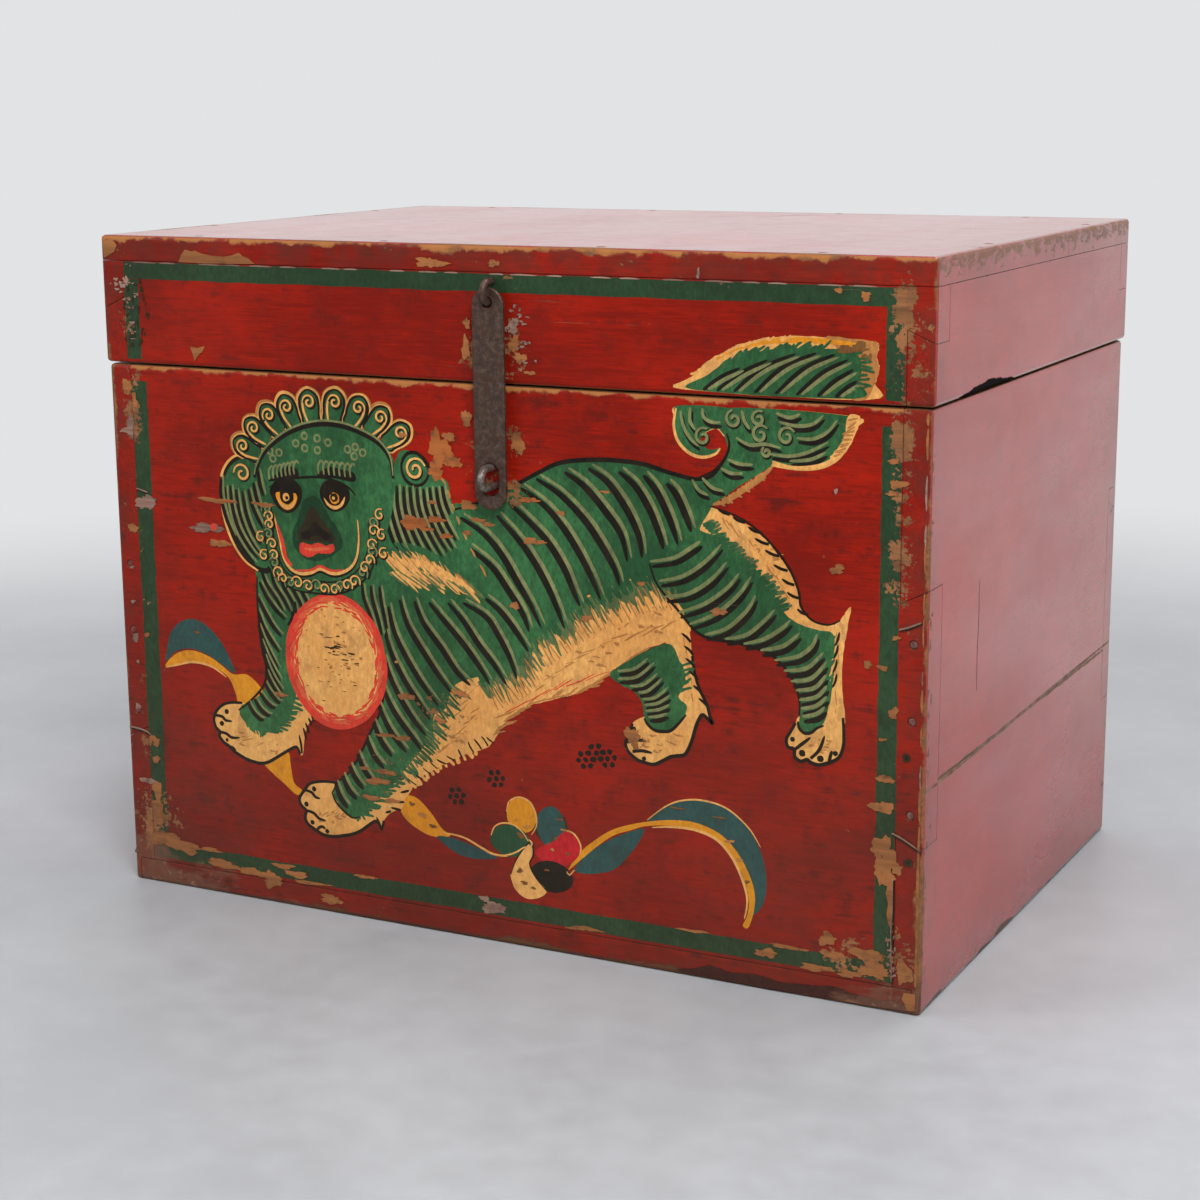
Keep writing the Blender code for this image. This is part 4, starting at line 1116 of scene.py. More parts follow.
# %% Tail on the case and on the lid
STEM = [
    (122, 286.5), (133, 287), (141, 291), (147, 298), (150, 305), (149, 312), (158, 308), (166, 303),
    (176, 298.6), (168, 292), (157, 285), (146, 277), (138, 275)
]
patch("lion_green", 4.5, STEM)
patch(
    "tan", 3, [(137, 273.5), (146, 276), (157, 283.5), (168, 291), (178, 299), (170, 289), (159, 281),
    (148, 274.5)], ragged=0.3
)
fur("tan", 4.0, [(142, 274.5), (152, 279), (162, 286), (172, 294)], 4, -20, 1.4, 1.8, 16)
LEFT_LOBE = [
    (121, 326.6), (118.6, 321), (118.4, 314), (121, 307), (127, 301.6), (135, 299.6), (142, 301.6),
    (145.4, 305), (140, 303.6), (135, 306), (134.4, 310.4), (138, 313.6), (144, 315.6), (149, 311.6),
    (152, 318), (152, 326.4)
]
patch("cream", 3, [(u - 0.5 + (u - 137) * 0.02, v - 0.6) for u, v in LEFT_LOBE])
patch("lion_green", 4, LEFT_LOBE)
RIGHT_LOBE = [
    (146, 326.4), (148, 312), (152, 305), (160, 303.4), (170, 300.6), (178, 298.4), (190, 297.4),
    (202, 299), (211, 303.6), (216, 310), (218.6, 318), (221, 326.2)
]
patch("cream", 3, [(u + (1.8 if u > 185 else 0.3), v - (1.8 if v < 312 else 0.0)) for u, v in RIGHT_LOBE])
patch("lion_green", 4, RIGHT_LOBE)
TAIL_CURLS = [
    ((135.4, 310.4), 5.2, 60), ((153.5, 321), 5.0, 100), ((169, 313.6), 5.4, 40), ((184, 313.4), 5.4, 30),
    ((172.6, 304.4), 3.0, 120), ((168, 322), 4.6, 60)
]
for centre, radius, start in TAIL_CURLS:
    curl("black", 6, (centre[0] + 0.5, centre[1] - 0.8), radius * 1.06, 1.25, start, 2.2)
    curl("olive", 7, centre, radius, 1.25, start, 1.8)
TAIL_STRIPES = [
    [(122, 324), (123.6, 316), (128, 309), (133, 305)], [(128, 326), (127.6, 319), (131, 313.6)],
    [(135, 326), (136, 321), (141, 318.6), (146, 319)],
    [(155, 311), (163, 307.6), (172, 308.6), (181, 307)],
    [(175, 303.4), (186, 303), (197, 306), (208, 312)], [(190, 313), (199, 313), (207, 317), (213, 324)],
    [(180, 321), (190, 319.4), (199, 321), (205, 326)], [(178, 325.6), (186, 323.6), (192, 326)],
    [(158, 326), (160, 320), (163, 316)], [(186, 300.4), (198, 302), (207, 306.6)],
    [(146, 294), (152, 291.6), (159, 292)], [(150, 299), (157, 297), (165, 297)],
    [(135, 288), (141, 283), (148, 281.6)], [(129, 286.6), (133, 281), (139, 278.6)]
]
striped(TAIL_STRIPES, (0.9, -2.2), dark=2.8, pale=2.0)
stroke(
    "black", 6, [(149.4, 313), (151, 307), (148.4, 299.6), (142, 292.4), (133, 288)], 1.5, ends=(0.5, 0.3)
)
stroke(
    "cream", 7, [(119.4, 325), (118, 316), (120.4, 307.4), (127, 301.2), (135, 299.2), (142.6, 301.4),
    (145.6, 304.8)], 1.8, ends=(0.5, 0.4)
)
stroke(
    "cream", 7.5, [(176, 299.6), (188, 297), (202, 298.6), (211, 303), (217, 310), (220, 319), (222, 326)],
    2.4, ends=(0.3, 0.9)
)
patch(
    "cream", 7.2, [(209, 304), (214, 310), (217.4, 318), (219, 326.4), (225.4, 326.2), (223.4, 318),
    (219, 309), (213, 303)], ragged=0.3
)
fur("tan", 7.8, [(213, 305), (218.6, 312), (221.4, 320), (223, 326)], 5, 200, 1.0, 1.5, 20)

patch(
    "cream", 2, [(124, 335.6), (129, 342.6), (138, 351), (151, 358.4), (168, 364.2), (190, 367),
    (214, 366.6), (232, 366), (235.6, 364), (234.4, 358), (236, 352), (233.6, 344), (229, 335.6)],
    "lid_front", ragged=0.3
)
patch(
    "tan", 2.6, [(206, 367.2), (220, 366.8), (232, 366), (235.6, 364), (234.4, 358), (236, 352),
    (233.6, 344), (229, 335.6), (220, 335.6), (222, 346), (218, 357)], "lid_front", ragged=0.3
)
stroke(
    "ochre", 3.2, [(142, 352), (156, 359.4), (172, 363.4), (192, 365), (212, 364.6), (226, 363.6)], 3.0,
    "lid_front", (0.2, 0.4)
)
fur("cream", 3.4, [(132, 345), (150, 357), (170, 364.4), (192, 366.8)], 5, -160, 1.4, 2.6, 12, "lid_front")
INNER_PLUME = [
    (130, 335.6), (138, 343.6), (150, 351), (164, 357), (184, 360.4), (206, 361), (222, 360.4), (226, 352),
    (225, 344), (222, 335.6)
]
patch("lion_green", 4, INNER_PLUME, "lid_front", ragged=0.2)
fur(
    "lion_green", 4, [(132, 338), (150, 351), (164, 357), (186, 360.4), (208, 361)], 6, 35, 1.8, 2.2, 12,
    "lid_front"
)
PLUME_STRIPES = [
    ((136, 336), (146, 343), (158, 349)), ((144, 336), (158, 346), (174, 354)),
    ((154, 336), (170, 349), (190, 358)), ((166, 336), (182, 350), (202, 359)),
    ((178, 336), (194, 350), (212, 358.6)), ((190, 336), (204, 348), (219, 356)),
    ((202, 336), (211, 344), (222, 351)), ((212, 336), (218, 341), (224, 345))
]
for low, middle, high in PLUME_STRIPES:
    stroke("black", 6, [low, middle, high], 2.6, "lid_front", (0.5, 0.0))
    stroke(
        "olive", 7, [(low[0] + 3, low[1] + 0.4), (middle[0] + 3, middle[1] - 0.6),
        (high[0] + 2, high[1] - 1.4)], 2.2, "lid_front", (0.5, 0.0)
    )
for u, v, wide, high in ((224, 362, 6.0, 2.6), (217, 361.4, 5.0, 1.6), (229, 357, 2.0, 3.0)):
    flake("sepia", (u, v), (wide, high), "lid_front", coat=8, count=24, rough=0.6)
fur("lion_green", 8.4, [(222, 338), (226, 346), (226, 354), (222, 360)], 6, 5, 1.4, 1.7, 16, "lid_front")
print("tail stripes", len(TAIL_STRIPES), "plume hairs 8")

# %% [markdown]
# The round medallion hangs before the chest, with an uneven red rim and a pale field that has worn
# and gathered dirt.

# %% Medallion
disc("rim_red", 8, (-106, 160), (36, 42), wobble=0.012, count=28)
disc("cream", 9, (-105.6, 160.5), (30.2, 36.6), wobble=0.02, count=28)
for _ in range(220):
    angle, r = chance.uniform(0, 2 * math.pi), chance.uniform(0.9, 1.05)
    u, v = -105.8 + 30.6 * r * math.cos(angle), 160.4 + 37.0 * r * math.sin(angle)
    slant = angle + math.pi / 2 + chance.uniform(-0.25, 0.25)
    tip = (u + 6 * math.cos(slant), v + 6 * math.sin(slant))
    stroke(
        "rim_red" if r < 0.975 else "coral", 9.5, [(u, v), ((u + tip[0]) / 2, (v + tip[1]) / 2), tip], 1.0,
        ends=(0.5, 0.0), steps=3
    )
fur("black", 9.7, [(-140, 178), (-136, 186), (-130, 192)], 5, 75, 1.6, 3.0, 25)
sprinkle(
    "umber", 16, lambda: (chance.gauss(-108, 8), chance.gauss(168, 3)), (0.8, 3.4), (0.2, 0.6), count=16,
    rough=0.3
)
sprinkle(
    "umber", 34, lambda: (chance.gauss(-106, 12), chance.gauss(160, 9)), (0.3, 1.6), (0.12, 0.3), count=10,
    rough=0.2
)
sprinkle(
    "tan", 26, lambda: (chance.gauss(-105, 13), chance.gauss(160, 15)), (0.4, 2.2), (0.3, 0.8), coat=12,
    rough=0.25
)
print("medallion rim strokes 220")

# %% [markdown]
# The mane: a striped lobe on each side of the face, and a patch of pale fur at the throat. The stripes
# hang down like combed hair.

# %% Mane
LEFT_MANE = [
    (-160, 281), (-170, 281.6), (-178, 277.6), (-184, 268.6), (-185.4, 255), (-184.4, 245), (-181.4, 234),
    (-176.4, 224), (-169, 215.6), (-160, 210.4), (-150, 213), (-152, 240), (-156, 264)
]
patch("black", 8, LEFT_MANE)
stroke(
    "cream", 9, [(-160, 281), (-170, 281.4), (-178, 277.4), (-184, 268.4), (-185, 255), (-184, 245),
    (-181, 234), (-176, 224), (-169, 216), (-160, 211)], 1.8, ends=(0.5, 0.5)
)
patch(
    "lion_green", 9, [(-160, 278), (-169, 278.6), (-176, 275), (-181.4, 267), (-182.8, 255),
    (-181.8, 245.6), (-179, 235), (-174, 226), (-167.6, 218.6), (-159, 213.6), (-152, 216), (-153, 240),
    (-156, 262)]
)
LEFT_MANE_LINES = [
    [(-180, 262), (-179.4, 250), (-175.6, 236), (-168, 224), (-160, 216)],
    [(-176, 263), (-175, 250), (-171, 237), (-164, 226), (-157, 219)],
    [(-172, 261), (-170, 247), (-165.6, 235), (-159, 225), (-154, 221)],
    [(-167.4, 260), (-165, 247), (-160.6, 236), (-155, 228)],
    [(-163, 262), (-160.4, 252), (-156, 243), (-153, 238)], [(-159, 266), (-157, 257), (-154.6, 250)],
    [(-182.6, 268), (-183, 256), (-180, 243), (-175, 231)], [(-155.6, 274), (-154, 265), (-152, 258)]
]
striped(LEFT_MANE_LINES, (-2.0, -1.0), coat=11, dark=2.8, pale=1.8)
curl("black", 10, (-168.4, 269.4), 6.8, 1.3, 180, 2.0, -1)
curl("cream", 11, (-169, 270), 6.2, 1.3, 180, 1.6, -1)

RIGHT_MANE = [
    (-56, 291), (-44, 288), (-34, 277.6), (-26, 275), (-23.6, 265), (-20.6, 256), (-17, 247), (-11, 238),
    (-12, 232), (-26, 224), (-44, 220), (-60, 219), (-74, 222), (-76, 240), (-68, 262), (-62, 280)
]
patch("lion_green", 8, RIGHT_MANE, ragged=0.2)
RIGHT_MANE_LINES = [
    [(-66, 268), (-66, 254), (-62, 240), (-56, 228)], [(-62, 270), (-61.6, 256), (-57, 241), (-50, 227)],
    [(-57.6, 271), (-57, 257), (-52, 242), (-44, 227)], [(-53, 271), (-52, 257), (-47, 243), (-38, 228)],
    [(-48.6, 271), (-47.4, 258), (-42, 244), (-33, 230)],
    [(-44, 270.6), (-42.6, 258), (-37, 245), (-28, 231)],
    [(-39.6, 270.6), (-38, 259), (-32.4, 246), (-24, 234)],
    [(-35.4, 271.6), (-33.6, 260), (-28.4, 248), (-20, 236)],
    [(-31, 272), (-29.4, 262), (-24.6, 251), (-18, 241)], [(-27, 273), (-25.6, 265), (-22, 256)]
]
striped(RIGHT_MANE_LINES, (-2.2, -0.9), coat=9, dark=2.9, pale=1.9)
THROAT = [(-72, 228), (-60, 230), (-46, 230), (-32, 226), (-20, 221)]
LOW_THROAT = [(-66, 217), (-52, 219), (-38, 219), (-24, 216), (-12, 212)]
fur("soft_green", 9.2, THROAT, 22, -38, 2.6, 1.2, 10)
fur("cream", 9.6, THROAT, 17, -38, 2.4, 1.1, 9)
fur("cream", 9.6, LOW_THROAT, 14, -34, 2.4, 1.2, 9)
fur("tan", 10.0, THROAT, 14, -38, 0.9, 2.2, 9)
fur("soft_green", 10.0, LOW_THROAT, 15, -34, 1.0, 2.4, 9)
fur("cream", 10.4, [(u + 4, v - 4) for u, v in THROAT], 14, -36, 1.2, 2.0, 9)
fur("lion_green", 10.8, [(u - 3, v + 5) for u, v in THROAT], 11, -44, 1.9, 1.9, 10)
HAIR_ROOTS = [(-30, 277), (-25.6, 270), (-23, 262), (-20, 255), (-16, 246), (-11, 237), (-5, 228)]
HAIR_TIPS = [(-26.6, 273), (-24, 265), (-21.4, 258), (-18, 250), (-13.4, 241.6), (-8, 232), (-1, 221)]
for (u0, v0), (u1, v1) in zip(HAIR_ROOTS, HAIR_TIPS):
    stroke(
        "tan", 10, [(u0, v0), ((u0 + u1) / 2 + 0.3, (v0 + v1) / 2), (u1, v1)], 1.2, ends=(0.6, 0.1), steps=3
    )
patch(
    "black", 9, [(-57, 283), (-53, 290), (-46, 291), (-39, 286), (-37, 279), (-41, 272), (-48, 270),
    (-55, 274)]
)
patch(
    "lion_green", 10, [(-55.4, 282), (-52, 288), (-46, 289), (-40.4, 284.6), (-38.6, 279), (-42, 273.6),
    (-48, 272), (-53.6, 275.6)]
)
curl("black", 11, (-46.4, 279.6), 7.6, 1.5, 20, 2.0, 1)
curl("cream", 12, (-47, 280.4), 7.2, 1.5, 20, 1.7, 1)
print("mane lines", len(LEFT_MANE_LINES) + len(RIGHT_MANE_LINES))

# %% [markdown]
# The head is built from flat shapes like the rest: a green face, a row of curls over the brow, and a
# beard of small hooks. The lion's face is an animal's, so it follows the painted one: round eyes that look
# to the side, a dark nose, and a small red mouth.

# %% Head and crest
HEAD = [
    (-160, 268), (-156, 280), (-148, 289), (-136, 297.4), (-122, 302.4), (-109, 304.6), (-96, 304),
    (-84, 301), (-74, 297), (-66, 291), (-61, 282), (-62, 262), (-66, 246), (-72, 232), (-80, 220),
    (-90, 210), (-105, 204), (-125, 203), (-142, 207), (-153, 216), (-159, 232), (-160, 250)
]
patch("lion_green", 10.4, HEAD)
HEAD_MIDDLE = (-112, 262)
CREST = [
    ((-166, 286), 13), ((-158, 297), 13), ((-147, 305), 13.5), ((-134.5, 310.5), 14), ((-119, 314), 14.5),
    ((-101.5, 315), 15), ((-85.5, 312.5), 14.5), ((-71, 308), 13.5), ((-58, 300), 13)
]
LOBE = [(0.0, 0.36), (0.25, 0.44), (0.5, 0.5), (0.75, 0.47), (0.92, 0.28)]


def lobe(paint, coat, base, tip, width):
    """A tongue-shaped patch from base to tip."""
    du, dv = tip[0] - base[0], tip[1] - base[1]
    length = math.hypot(du, dv)
    nu, nv = -dv / length, du / length
    side_a = [(base[0] + du * t + nu * width * h, base[1] + dv * t + nv * width * h) for t, h in LOBE]
    side_b = [(base[0] + du * t - nu * width * h, base[1] + dv * t - nv * width * h) for t, h in LOBE]
    patch(paint, coat, side_a + [tip] + side_b[::-1])


for (u, v), width in CREST:
    du, dv = u - HEAD_MIDDLE[0], v - HEAD_MIDDLE[1]
    length = math.hypot(du, dv)
    du, dv = du / length, dv / length
    base = (u - du * 11, v - dv * 11)
    shake = [chance.uniform(-0.8, 0.8) for _ in range(4)]
    lobe("tan", 8.8, base, (u + du * 11.4 + shake[0], v + dv * 11.4 + shake[1]), width + 3.2)
    lobe("cream", 9, base, (u + du * 10.8 + shake[2], v + dv * 10.8 + shake[3]), width + 2.0)
    lobe("black", 9.4, base, (u + du * 9.6, v + dv * 9.6), width + 0.6)
    lobe("lion_green", 9.8, base, (u + du * 8.4, v + dv * 8.4), width - 2.8)
    way = -1 if u < -92 else 1
    lean = math.degrees(math.atan2(dv, du))
    middle = (u + du * 1.8, v + dv * 1.8)
    curl("black", 10, (middle[0] + 0.8, middle[1] - 0.9), 4.9, 1.3, lean - 90 * way, 2.3, way)
    curl("cream", 10.2, middle, 4.6, 1.3, lean - 90 * way, 1.4, way)
    stem = (
        middle[0] + 4.4 * math.cos(math.radians(lean - 90 * way)),
        middle[1] + 4.4 * math.sin(math.radians(lean - 90 * way))
    )
    stroke(
        "cream", 10.2, [stem, (stem[0] - du * 5, stem[1] - dv * 5),
        (base[0] + (stem[0] - middle[0]) * 0.5, base[1] + (stem[1] - middle[1]) * 0.5)], 1.5,
        ends=(0.9, 0.5), steps=3
    )
HAIRLINE = [
    (-160, 268), (-158.6, 273), (-153.6, 282), (-146.4, 289), (-135, 296.4), (-122, 301.4), (-109, 303.6),
    (-96.4, 303), (-86.4, 300.7), (-76.4, 297), (-69.3, 292.6), (-63.6, 285), (-62, 274)
]
stroke("black", 12, HAIRLINE, 3.4, ends=(0.5, 0.5))
stroke("olive", 13, [(u, v + 1.8) for u, v in HAIRLINE], 1.3, ends=(0.6, 0.6))
RINGS = [
    (-123, 295.4), (-129.3, 290.7), (-123, 288.2), (-114, 294.5), (-114, 287.5), (-106.5, 292.5),
    (-93, 289.3), (-87.5, 291), (-82.5, 288), (-88.5, 285.5), (-148, 285), (-146, 280.5), (-141.5, 284.4)
]
for u, v in RINGS:
    stroke("olive", 12, circle((u, v), 2.0, 40, 10), 1.3, ends=(0.9, 0.9), steps=2)
print("crest curls", len(CREST), "forehead rings", len(RINGS))

# %% [markdown]
# The face goes on from the brows down: two dark brows with olive hairs, the eyes, the nose and the mouth,
# then the jaw line and the hooks of the beard along it.

# %% Face
for u0, v0, u1, v1 in ((-150, 266.5, -129, 271.5), (-115, 272.5, -89, 272)):
    patch(
        "black", 11, [(u0, v0), ((2 * u0 + u1) / 3, v0 + 5.5), ((u0 + 2 * u1) / 3, v1 + 5), (u1, v1 + 3.6),
        (u1, v1 - 1.6), ((u0 + u1) / 2, (v0 + v1) / 2 - 0.8)]
    )
    for k in range(7):
        t = (k + 0.5) / 7
        u, v = u0 + (u1 - u0) * t, v0 + (v1 - v0) * t + 0.8
        stroke(
            "olive", 12, [(u - 0.6, v), (u - 1.0, v + 5.0), (u + 1.2, v + 8.2), (u + 2.8, v + 6.6)], 1.4,
            ends=(0.7, 0.3), steps=3
        )
stroke(
    "black", 12, [(-150, 262.6), (-140, 267.6), (-129, 270), (-112, 271.5), (-101, 269.6), (-93, 266.6),
    (-88, 262)], 1.7, ends=(0.2, 0.2)
)
patch(
    "black", 11, [(-149, 262), (-143, 268.5), (-135, 270), (-127, 265), (-126.6, 257), (-131, 250.6),
    (-137, 248), (-143.4, 250.4), (-147.6, 256)]
)
patch(
    "ochre", 12, [(-145, 259), (-141, 262), (-133.6, 262), (-129.6, 258.6), (-132, 252.6), (-137, 250),
    (-142, 252.4)]
)
patch(
    "cream", 12.4, [(-144.4, 258.4), (-142, 254.6), (-137.4, 252.8), (-133, 254.4), (-130.2, 258),
    (-132.4, 252.8), (-137, 250.4), (-141.6, 252.6)]
)
disc("black", 13, (-137.2, 258.6), 5.0)
patch(
    "black", 13.4, [(-148, 261.6), (-142, 267.6), (-134, 268.6), (-127, 263.6), (-131, 260.6), (-137, 262),
    (-143.4, 260.4)]
)
disc("cream", 14, (-137.6, 257.8), 2.5)
disc("black", 14.6, (-137.0, 257.4), 1.1)
patch(
    "black", 11, [(-113.6, 262), (-110, 269), (-102, 270.6), (-94, 267), (-92.4, 260), (-96.6, 254),
    (-103, 251.4), (-109.6, 254)]
)
patch(
    "cream", 12, [(-110.6, 259.4), (-107, 256), (-103, 255), (-99.4, 256.4), (-95.8, 261), (-97.4, 255.8),
    (-103, 252.8), (-108.4, 255)]
)
disc("ochre", 12, (-103.2, 259.4), 3.4)
disc("black", 13, (-103.4, 260), 2.6)
disc("cream", 14, (-103.8, 259.6), 1.0)
patch(
    "deep_green", 10.8, [(-124, 258), (-115, 259), (-106, 247), (-99, 237), (-100, 229), (-112, 222),
    (-124, 221), (-133, 228), (-133.6, 237), (-129, 247)], ragged=0.4
)
patch(
    "umber", 11, [(-121.6, 252), (-117.4, 253), (-112, 245.6), (-106, 239), (-103.4, 235), (-107, 232.4),
    (-118, 233.4), (-128, 232), (-130, 236), (-125.4, 243.6)], ragged=0.3
)
patch(
    "black", 12, [(-127, 237), (-122, 239.6), (-117.4, 245), (-113, 240.6), (-106.6, 237.4),
    (-106.4, 234.6), (-111, 233.8), (-117, 236.4), (-123, 233.4), (-127.4, 234)], ragged=0.25
)
patch(
    "rim_red", 12, [(-127.6, 231), (-121, 230.2), (-116, 231.8), (-110, 230.4), (-105.6, 232),
    (-104.4, 228.6), (-109, 225.6), (-116, 225.6), (-121, 222.8), (-126.6, 223.4), (-129.4, 226.6)],
    ragged=0.35
)
stroke("coral", 12.6, [(-126, 227.6), (-119, 227.4), (-113, 228.4), (-107.6, 229)], 2.2, ends=(0.2, 0.2))
stroke("umber", 12.8, [(-130, 232), (-119, 233), (-104.6, 233.6)], 1.2, ends=(0.2, 0.2))
JAW = [
    (-147, 247), (-143.6, 233), (-141.4, 222), (-137, 215), (-130, 212), (-122, 213), (-115, 216),
    (-107, 214), (-100, 215), (-93, 219), (-88.6, 226), (-87, 237), (-87.5, 248)
]
stroke("black", 11, [(u, v - 1.2) for u, v in JAW], 2.6, ends=(0.3, 0.3))
stroke("cream", 12, JAW, 2.0, ends=(0.4, 0.2))
stroke("rim_red", 12, [(-145, 241), (-141.4, 230), (-139.4, 221), (-135, 216)], 2.6, ends=(0.2, 0.2))
stroke(
    "rim_red", 12, [(-134, 213.6), (-122, 214.6), (-115, 217.6), (-107, 215.6), (-98, 217)], 1.6,
    ends=(0.2, 0.2)
)
BEARD_LINE = [
    (-152, 250), (-151, 240), (-150, 228), (-147, 217), (-141, 208.6), (-131, 205), (-118, 204.6),
    (-106, 205), (-95, 208.6), (-86, 215), (-80, 224), (-77, 235), (-77.6, 247)
]
stroke("black", 11.4, BEARD_LINE, 8.6, ends=(0.6, 0.6))
stroke("lion_green", 11.6, BEARD_LINE, 6.4, ends=(0.6, 0.6))
for k, (u, v) in enumerate(through(BEARD_LINE, False, 2)):
    u, v = u + chance.uniform(-1.2, 1.2), v + chance.uniform(-1.4, 1.4)
    way = -1 if u < -115 else 1
    start = chance.uniform(150, 230) if way < 0 else chance.uniform(-50, 30)
    curl("black", 12, (u + 0.5, v - 0.5), 4.4, 1.15, start, 1.9, way)
    curl("cream" if k % 3 else "olive", 13, (u, v), chance.uniform(3.4, 4.4), 1.15, start, 1.15, way)
for u, v in ((-157, 232), (-155, 221), (-71, 240), (-70, 229), (-72, 252)):
    curl("black", 12, (u + 0.5, v - 0.5), 4.2, 1.1, 60, 1.8, 1)
    curl("cream", 13, (u, v), 3.8, 1.1, 60, 1.1, 1)
print("beard curls", 2 * len(BEARD_LINE) + 4)

# %% [markdown]
# Under the lion a ball of six coloured petals trails two ribbons. They are plain flat shapes with a pale
# line along one edge. Dots in sevens stand for small flowers.

# %% Ball, ribbons and dot flowers
patch(
    "teal", 1, [(-233, 147), (-231, 158), (-228, 166), (-220, 173.6), (-210, 176), (-200, 172.6),
    (-190, 163.6), (-183, 152), (-180.6, 144.6), (-190, 149), (-200, 154), (-213, 157), (-225, 154)]
)
patch(
    "ochre", 2, [(-233.6, 144), (-225, 152.6), (-213, 156), (-200, 153.6), (-190, 148.6), (-182, 144),
    (-172, 145), (-164, 140), (-160, 134), (-168, 129.6), (-178, 125), (-181, 133), (-186, 142),
    (-198, 147.6), (-212, 149), (-224, 146)]
)
stroke(
    "cream", 3, [(-233.4, 143), (-224, 145.6), (-212, 148.6), (-198, 147.2), (-187, 141.6)], 1.4,
    ends=(0.3, 0.2)
)
patch(
    "ochre", 1, [(-161, 90), (-150, 96), (-143, 99), (-141.6, 90), (-139.6, 80), (-133.6, 75.6),
    (-138, 72.6), (-147, 78.6), (-155, 84)]
)
patch(
    "ochre", 1, [(-64, 82), (-56, 83), (-50, 81), (-42, 74), (-35, 65.6), (-29, 61.6), (-40, 59.6),
    (-50, 62), (-60, 68), (-64, 75)]
)
patch(
    "teal", 2, [(-38, 60), (-28, 60.6), (-15, 58), (-4, 55), (3, 52.5), (-10, 50), (-22, 50.6), (-32, 55)]
)
stroke("cream", 3, [(-34, 63), (-20, 62), (-8, 57.4), (0, 54.6), (10, 55), (18, 59)], 1.4, ends=(0.3, 0.4))
disc("ochre", 3, (19.5, 81), (10, 10.6), wobble=0.03)
disc("teal", 2, (39, 76.5), (9.6, 12.6), wobble=0.03)
patch("crimson", 2.4, [(28, 60), (38, 53), (50, 55), (58, 64), (55, 74), (48, 75), (40, 68)])
disc("leaf_green", 4, (12, 64.4), (13.4, 9.8), wobble=0.03)
disc("black", 3, (39, 46.4), (14, 9.6), wobble=0.03)
patch(
    "cream", 4, [(20, 60), (15, 52), (12, 44), (15, 36), (22, 31.6), (32, 33), (35, 37.6), (28, 45),
    (24.6, 52), (27, 60), (24, 64)]
)
stroke(
    "black", 5, [(12, 44), (15, 52), (20, 60), (26, 66), (27, 58), (24.6, 52), (28, 45), (35, 37.6)], 1.0,
    ends=(0.4, 0.4)
)
BALL_LINES = [
    [(-1, 66), (1.4, 71.6), (7, 74.6), (14, 74.6), (20, 71), (24, 65.6)],
    [(9.6, 82), (11.6, 88.4), (18, 91.8), (25, 90), (29, 83.6), (29.4, 76), (26, 70)],
    [(0, 54.6), (8, 55), (15, 57.6), (21, 61.6), (25.4, 62.6)],
    [(47.6, 76), (54, 74.6), (58.4, 68), (57.6, 62)],
    [(35.6, 36.6), (30, 32.4), (22, 31), (15, 35.4), (11.6, 43.6)], [(25, 62), (26.4, 65), (24, 67)],
    [(54, 52.6), (51, 49.4), (49, 51)]
]
for line in BALL_LINES:
    stroke("cream", 5.5, line, 1.0, ends=(0.5, 0.2))
BALL_MARKS = [
    (19, 68.6, 2.6, 1.4), (23, 74.4, 2.4, 1.2), (16, 78, 1.2, 1.0), (45, 82, 2.0, 0.7), (48, 76, 2.2, 0.7),
    (42, 70, 1.8, 0.8), (40, 63, 1.4, 0.8), (50, 62, 1.2, 0.8), (18, 47, 1.8, 1.6), (21, 40, 2.4, 1.0),
    (27, 37.6, 1.6, 0.8), (36, 50, 1.4, 0.7), (152, 84, 3.0, 0.8), (158, 74, 2.4, 1.0), (163, 62, 1.6, 0.9),
    (120, 99, 4.0, 0.6), (146, 97, 3.4, 0.6), (-208, 168, 2.6, 0.6), (-48, 72, 3, 1.4), (-41, 66, 2, 1.2),
    (-55, 78, 2, 1.0)
]
for u, v, wide, high in BALL_MARKS:
    flake("sepia" if chance.random() < 0.6 else "tan", (u, v), (wide, high), coat=9, count=16, rough=0.5)
for centre, radius in (((19.5, 81), 10.2), ((39, 76.5), 10.6)):
    stroke("umber", 1, circle(centre, radius, 36, 11), 1.2, ends=(0.9, 0.9), steps=3)
patch(
    "teal", 1, [(54, 53), (62, 63), (75, 73), (88, 80), (99, 84), (96, 76), (88, 65), (80, 57), (70, 53),
    (60, 51.4)]
)
patch(
    "teal", 1, [(101, 89), (112, 98), (122, 103), (135, 105), (150, 102.4), (163, 93), (171.6, 79),
    (174.6, 63), (172, 49), (163, 40), (164.6, 50), (162, 64), (154, 77), (144, 86), (130, 90), (112, 90)]
)
patch(
    "ochre", 2, [(50, 52), (60, 61), (70, 70), (80, 77.4), (90, 81.6), (100, 85.6), (115, 88), (130, 88.4),
    (144, 85), (153, 77), (160, 65), (164, 52), (163, 42), (160.4, 36), (163.6, 35), (166.8, 44),
    (167.6, 55), (164, 66.6), (156, 79.2), (145.6, 87.8), (130.8, 92), (115.8, 91.4), (101, 88.4),
    (88, 84.4), (78, 80), (68, 73), (58, 64)]
)
stroke(
    "cream", 3, [(104, 85.4), (116, 87.4), (130, 87.8), (143, 84.6), (152, 77), (158.6, 66), (163, 52),
    (161.4, 40)], 1.7, ends=(0.2, 0.3)
)
stroke(
    "cream", 3, [(101, 89.4), (112, 98.6), (122, 103.6), (135, 105.6), (150, 103), (163.4, 93.6),
    (171, 83)], 1.0, ends=(0.4, 0.1)
)
for u, v in ((3, 101), (-24, 87), (62, 120), (76, 122.5), (69, 125)):
    for k in range(7):
        a = math.radians(60 * k + 12)
        r = 0.0 if k == 6 else 4.7
        disc("black", 1, (u + r * math.cos(a), v + r * 0.9 * math.sin(a)), 1.7, wobble=0.2, count=9)
